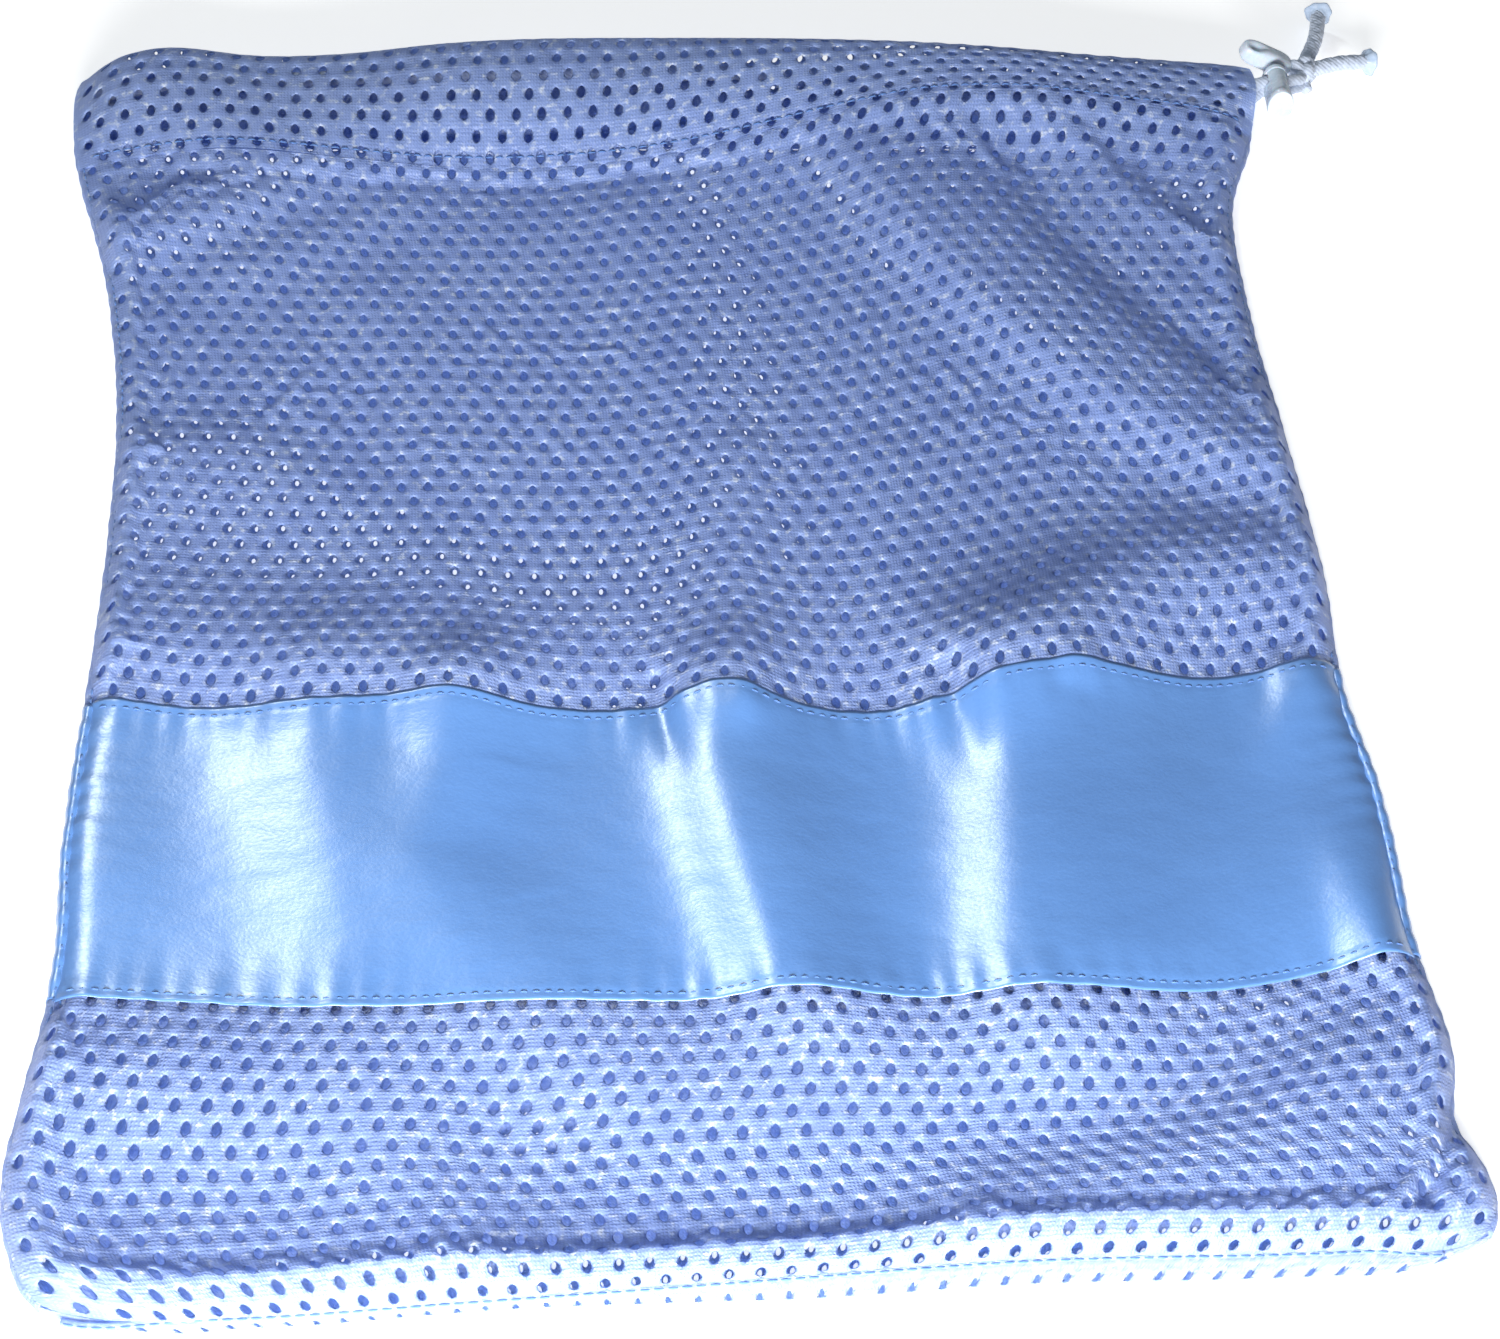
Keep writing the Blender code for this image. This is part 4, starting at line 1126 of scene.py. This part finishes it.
TIP_RADII = ((0, 0.35, 0.7, 0.9, 1.0), (1.9, 2.4, 3.5, 3.7, 3.2))   # share of a tip's length, radius
for label, bow in (("upper", (0.9, -0.4, 0.4)), ("right", (0.2, 0.5, 0.5))):
    low, high = node_box(f"cord_tip_{label}")
    end = KNOT.lerp((low + high) / 2, 0.86 if label == "upper" else 1.0)
    start = KNOT.lerp(end, 0.12)
    middle = start.lerp(end, 0.5) + Vector(bow)
    along = (end - middle).normalized()
    stop = end - along * 1.0
    path = smooth_path((start, middle, stop), 0.25)
    tail = tube(f"cord_tail_{label}_braid", path, CORD_RADIUS * 1.08, cord, sides=24, ripple=braid)
    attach(in_slot(tail, "cord", f"cord_tail_{label}"), "cord_pull")
    steps = np.linspace(0, 1, 9)
    flare = np.interp(steps, *TIP_RADII)
    tip_path = np.array([stop - along * 0.5 + along * 2.6 * t for t in steps])

    def melt(turn, at, seed=len(label)):
        return 1 + 0.07 * np.sin(3 * turn + seed) + 0.05 * np.sin(7 * turn + 2 * seed + at)

    tip = tube(f"cord_tip_{label}_melted", tip_path, flare, melted_cord, sides=28, ripple=melt)
    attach(in_slot(tip, "melted_cord", f"cord_tip_{label}"), "cord_pull")


# ---- cord lock ----------------------------------------------------------------------------------
def rounded_block(half, power, detail=48):
    """A block with softly rounded corners."""
    bm = bmesh.new()
    bmesh.ops.create_uvsphere(bm, u_segments=detail, v_segments=detail // 2, radius=1.0)
    for vert in bm.verts:
        co = [math.copysign(abs(c) ** power, c) for c in vert.co]
        vert.co = Vector(co) * Vector(half)
    return bm


def finish_bmesh(name, bm, material, matrix):
    bmesh.ops.transform(bm, matrix=Matrix.Scale(MM, 4) @ matrix, verts=bm.verts)
    mesh = bpy.data.meshes.new(name)
    bm.to_mesh(mesh)
    bm.free()
    mesh.shade_smooth()
    mesh.set_sharp_from_angle(angle=math.radians(50))
    mesh.materials.append(material)
    return link(name, mesh)


def oval_shell(name, centre, half_x, half_z, stations, material, sides=56):
    """An oval turned along Y: stations are (y from centre, share of the full size)."""
    points, rows = [], len(stations)
    turn = np.linspace(0, 2 * math.pi, sides, endpoint=False)
    for y, share in stations:
        x = half_x * share * np.cos(turn)
        z = half_z * share * np.sin(turn)
        points.append(np.stack([centre.x + x, np.full(sides, centre.y + y), centre.z + z], -1))
    points = np.concatenate(points)
    index = np.arange(rows * sides).reshape(rows, sides)
    faces = np.array(ring_faces(index))[:, [0, 3, 2, 1]].tolist()
    return make_object(name, points, faces + [index[0].tolist(), index[-1, ::-1].tolist()], material)


def cut_cord_hole(obj, centre, size):
    """The square hole across the lock, which the two cords run through."""
    hole = bmesh.new()
    bmesh.ops.create_cube(hole, size=1.0)
    place = Matrix.Translation(centre) @ Matrix.Diagonal((*size, 1))
    cutter = finish_bmesh("cord hole", hole, lock_plastic, place)
    cutter.hide_render = True
    cut = obj.modifiers.new("cord hole", "BOOLEAN")
    cut.object = cutter
    cut.solver = "EXACT"
    bpy.context.view_layer.update()
    graph = bpy.context.evaluated_depsgraph_get()
    obj.data = bpy.data.meshes.new_from_object(obj.evaluated_get(graph))
    obj.modifiers.clear()
    obj.data.set_sharp_from_angle(angle=math.radians(40))
    bpy.data.objects.remove(cutter)


BARREL_HOLE, SHAFT_HOLE = (14, 3.9, 6.4), (14, 5.2, 5.9)    # sizes of the holes for the cords
HEAD_HALF = (7.75, 2.9, 3.0)            # half the button head's size
half_x = (lock_high.x - lock_low.x) / 2
half_z = (lock_high.z - lock_low.z) / 2
floor_y, rim_y = lock_low.y - LOCK.y, lock_high.y - LOCK.y
barrel = oval_shell("cord_lock_barrel_shell", LOCK, half_x, half_z, (
    (floor_y + 1.1, 0.72), (rim_y - 0.3, 0.74), (rim_y, 0.80), (rim_y, 0.92), (rim_y - 0.25, 1.0),
    (rim_y - 1.3, 1.0), (rim_y - 1.55, 0.95), (0, 0.955), (floor_y + 2.2, 0.94), (floor_y + 1.9, 0.99),
    (floor_y + 0.6, 1.0), (floor_y + 0.15, 0.96), (floor_y, 0.86), (floor_y + 0.1, 0.5),
), lock_plastic)
cut_cord_hole(barrel, LOCK, BARREL_HOLE)
soft = barrel.modifiers.new("moulded edges", "BEVEL")
soft.width = 0.25 * MM
soft.segments = 3
soft.angle_limit = math.radians(35)
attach(in_slot(barrel, "lock_plastic", "cord_lock_barrel"), "cord_lock")

head_centre = Vector((LOCK.x - 1.8, rim_y + LOCK.y + 2.3 + HEAD_HALF[1], LOCK.z + 2.8))
tilt = Matrix.Translation(head_centre) @ Matrix.Rotation(math.radians(27), 4, "Y")
head = rounded_block(HEAD_HALF, 0.55)
for vert in head.verts:
    dish = math.exp(-(((vert.co.x + 4.7) / 2.0) ** 2) - ((vert.co.y + 0.6) / 1.5) ** 2)
    if vert.co.z > 0:
        vert.co.z -= 1.5 * dish
    vert.co.y *= 1 - 0.08 * math.exp(-((vert.co.x / 3.0) ** 2))
head_obj = finish_bmesh("cord_lock_button_head", head, lock_plastic, tilt)
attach(in_slot(head_obj, "lock_plastic", "cord_lock_button"), "lock_button")
shaft = oval_shell("cord_lock_button_shaft", LOCK, half_x, half_z, (
    (rim_y + 4.5, 0.64), (rim_y + 1.2, 0.67), (-2.4, 0.67), (-2.6, 0.6),
), lock_plastic)
cut_cord_hole(shaft, LOCK + Vector((0, 1.0, 0)), SHAFT_HOLE)
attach(in_slot(shaft, "lock_plastic"), "lock_button")
spring_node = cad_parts["cord_lock_spring"]
spring_node.data.materials.clear()
spring_node.data.materials.append(spring_steel)


# ---- stage --------------------------------------------------------------------------------------
def make_stage_material():
    n = Nodes("studio floor")
    grain = n.add("ShaderNodeTexNoise", Scale=90.0, Detail=3.0)
    n.colour(grain.outputs["Fac"], (0.90, 0.90, 0.91), (0.94, 0.94, 0.945))
    n.set(Roughness=0.9, Emission_Strength=0.58)
    n.shader.inputs["Emission Color"].default_value = (1, 1, 1, 1)
    return n.material


def make_stage():
    bm = bmesh.new()
    bmesh.ops.create_grid(bm, x_segments=1, y_segments=1, size=6.0)
    mesh = bpy.data.meshes.new("studio floor")
    bm.to_mesh(mesh)
    bm.free()
    mesh.materials.append(make_stage_material())
    floor = link("studio_floor", mesh)
    floor.location.z = -0.0002
    world = bpy.data.worlds.new("studio")
    world.use_nodes = True
    back = world.node_tree.nodes["Background"]
    back.inputs[0].default_value = (0.93, 0.96, 1.0, 1)
    seen = world.node_tree.nodes.new("ShaderNodeLightPath").outputs["Is Camera Ray"]
    strength = world.node_tree.nodes.new("ShaderNodeMapRange")
    strength.inputs["To Min"].default_value, strength.inputs["To Max"].default_value = 0.14, 0.95
    world.node_tree.links.new(seen, strength.inputs["Value"])
    world.node_tree.links.new(strength.outputs[0], back.inputs[1])
    bpy.context.scene.world = world


def add_light(name, place, target, size, power, colour):
    data = bpy.data.lights.new(name, "AREA")
    data.shape = "RECTANGLE"
    data.size, data.size_y = size
    data.energy = power
    data.color = colour
    light = link(name, data)
    light.location = place
    light.rotation_euler = (Vector(target) - Vector(place)).to_track_quat("-Z", "Y").to_euler()


def make_camera():
    """Looks down on the bag from its bottom edge, a little from the left and slightly rolled."""
    target = Vector((0.0069, 0.0559, 0.0))
    distance, lens = 0.8714, 91.73
    heading, down, roll = math.radians(6.707), math.radians(46.84), math.radians(4.26)
    level = math.cos(down)
    view = Vector((math.sin(heading) * level, math.cos(heading) * level, -math.sin(down)))
    data = bpy.data.cameras.new("camera")
    data.lens = lens
    data.sensor_width = 36
    camera = link("camera", data)
    turn = view.to_track_quat("-Z", "Y").to_matrix().to_4x4()
    place = Matrix.Translation(target - view * distance)
    camera.matrix_world = place @ turn @ Matrix.Rotation(roll, 4, "Z")
    bpy.context.scene.camera = camera


make_stage()
BAG_MIDDLE, BAG_BOTTOM = (0, 0.08, 0), (0, -0.02, 0)
add_light("key", (-0.05, -0.47, 0.195), BAG_BOTTOM, (0.4, 0.15), 8.8, (1.0, 0.99, 0.97))
add_light("window", (-0.66, 1.32, 1.34), BAG_MIDDLE, (0.32, 0.44), 8, (0.86, 0.96, 1.0))
make_camera()
bpy.context.scene.view_settings.view_transform = "Standard"
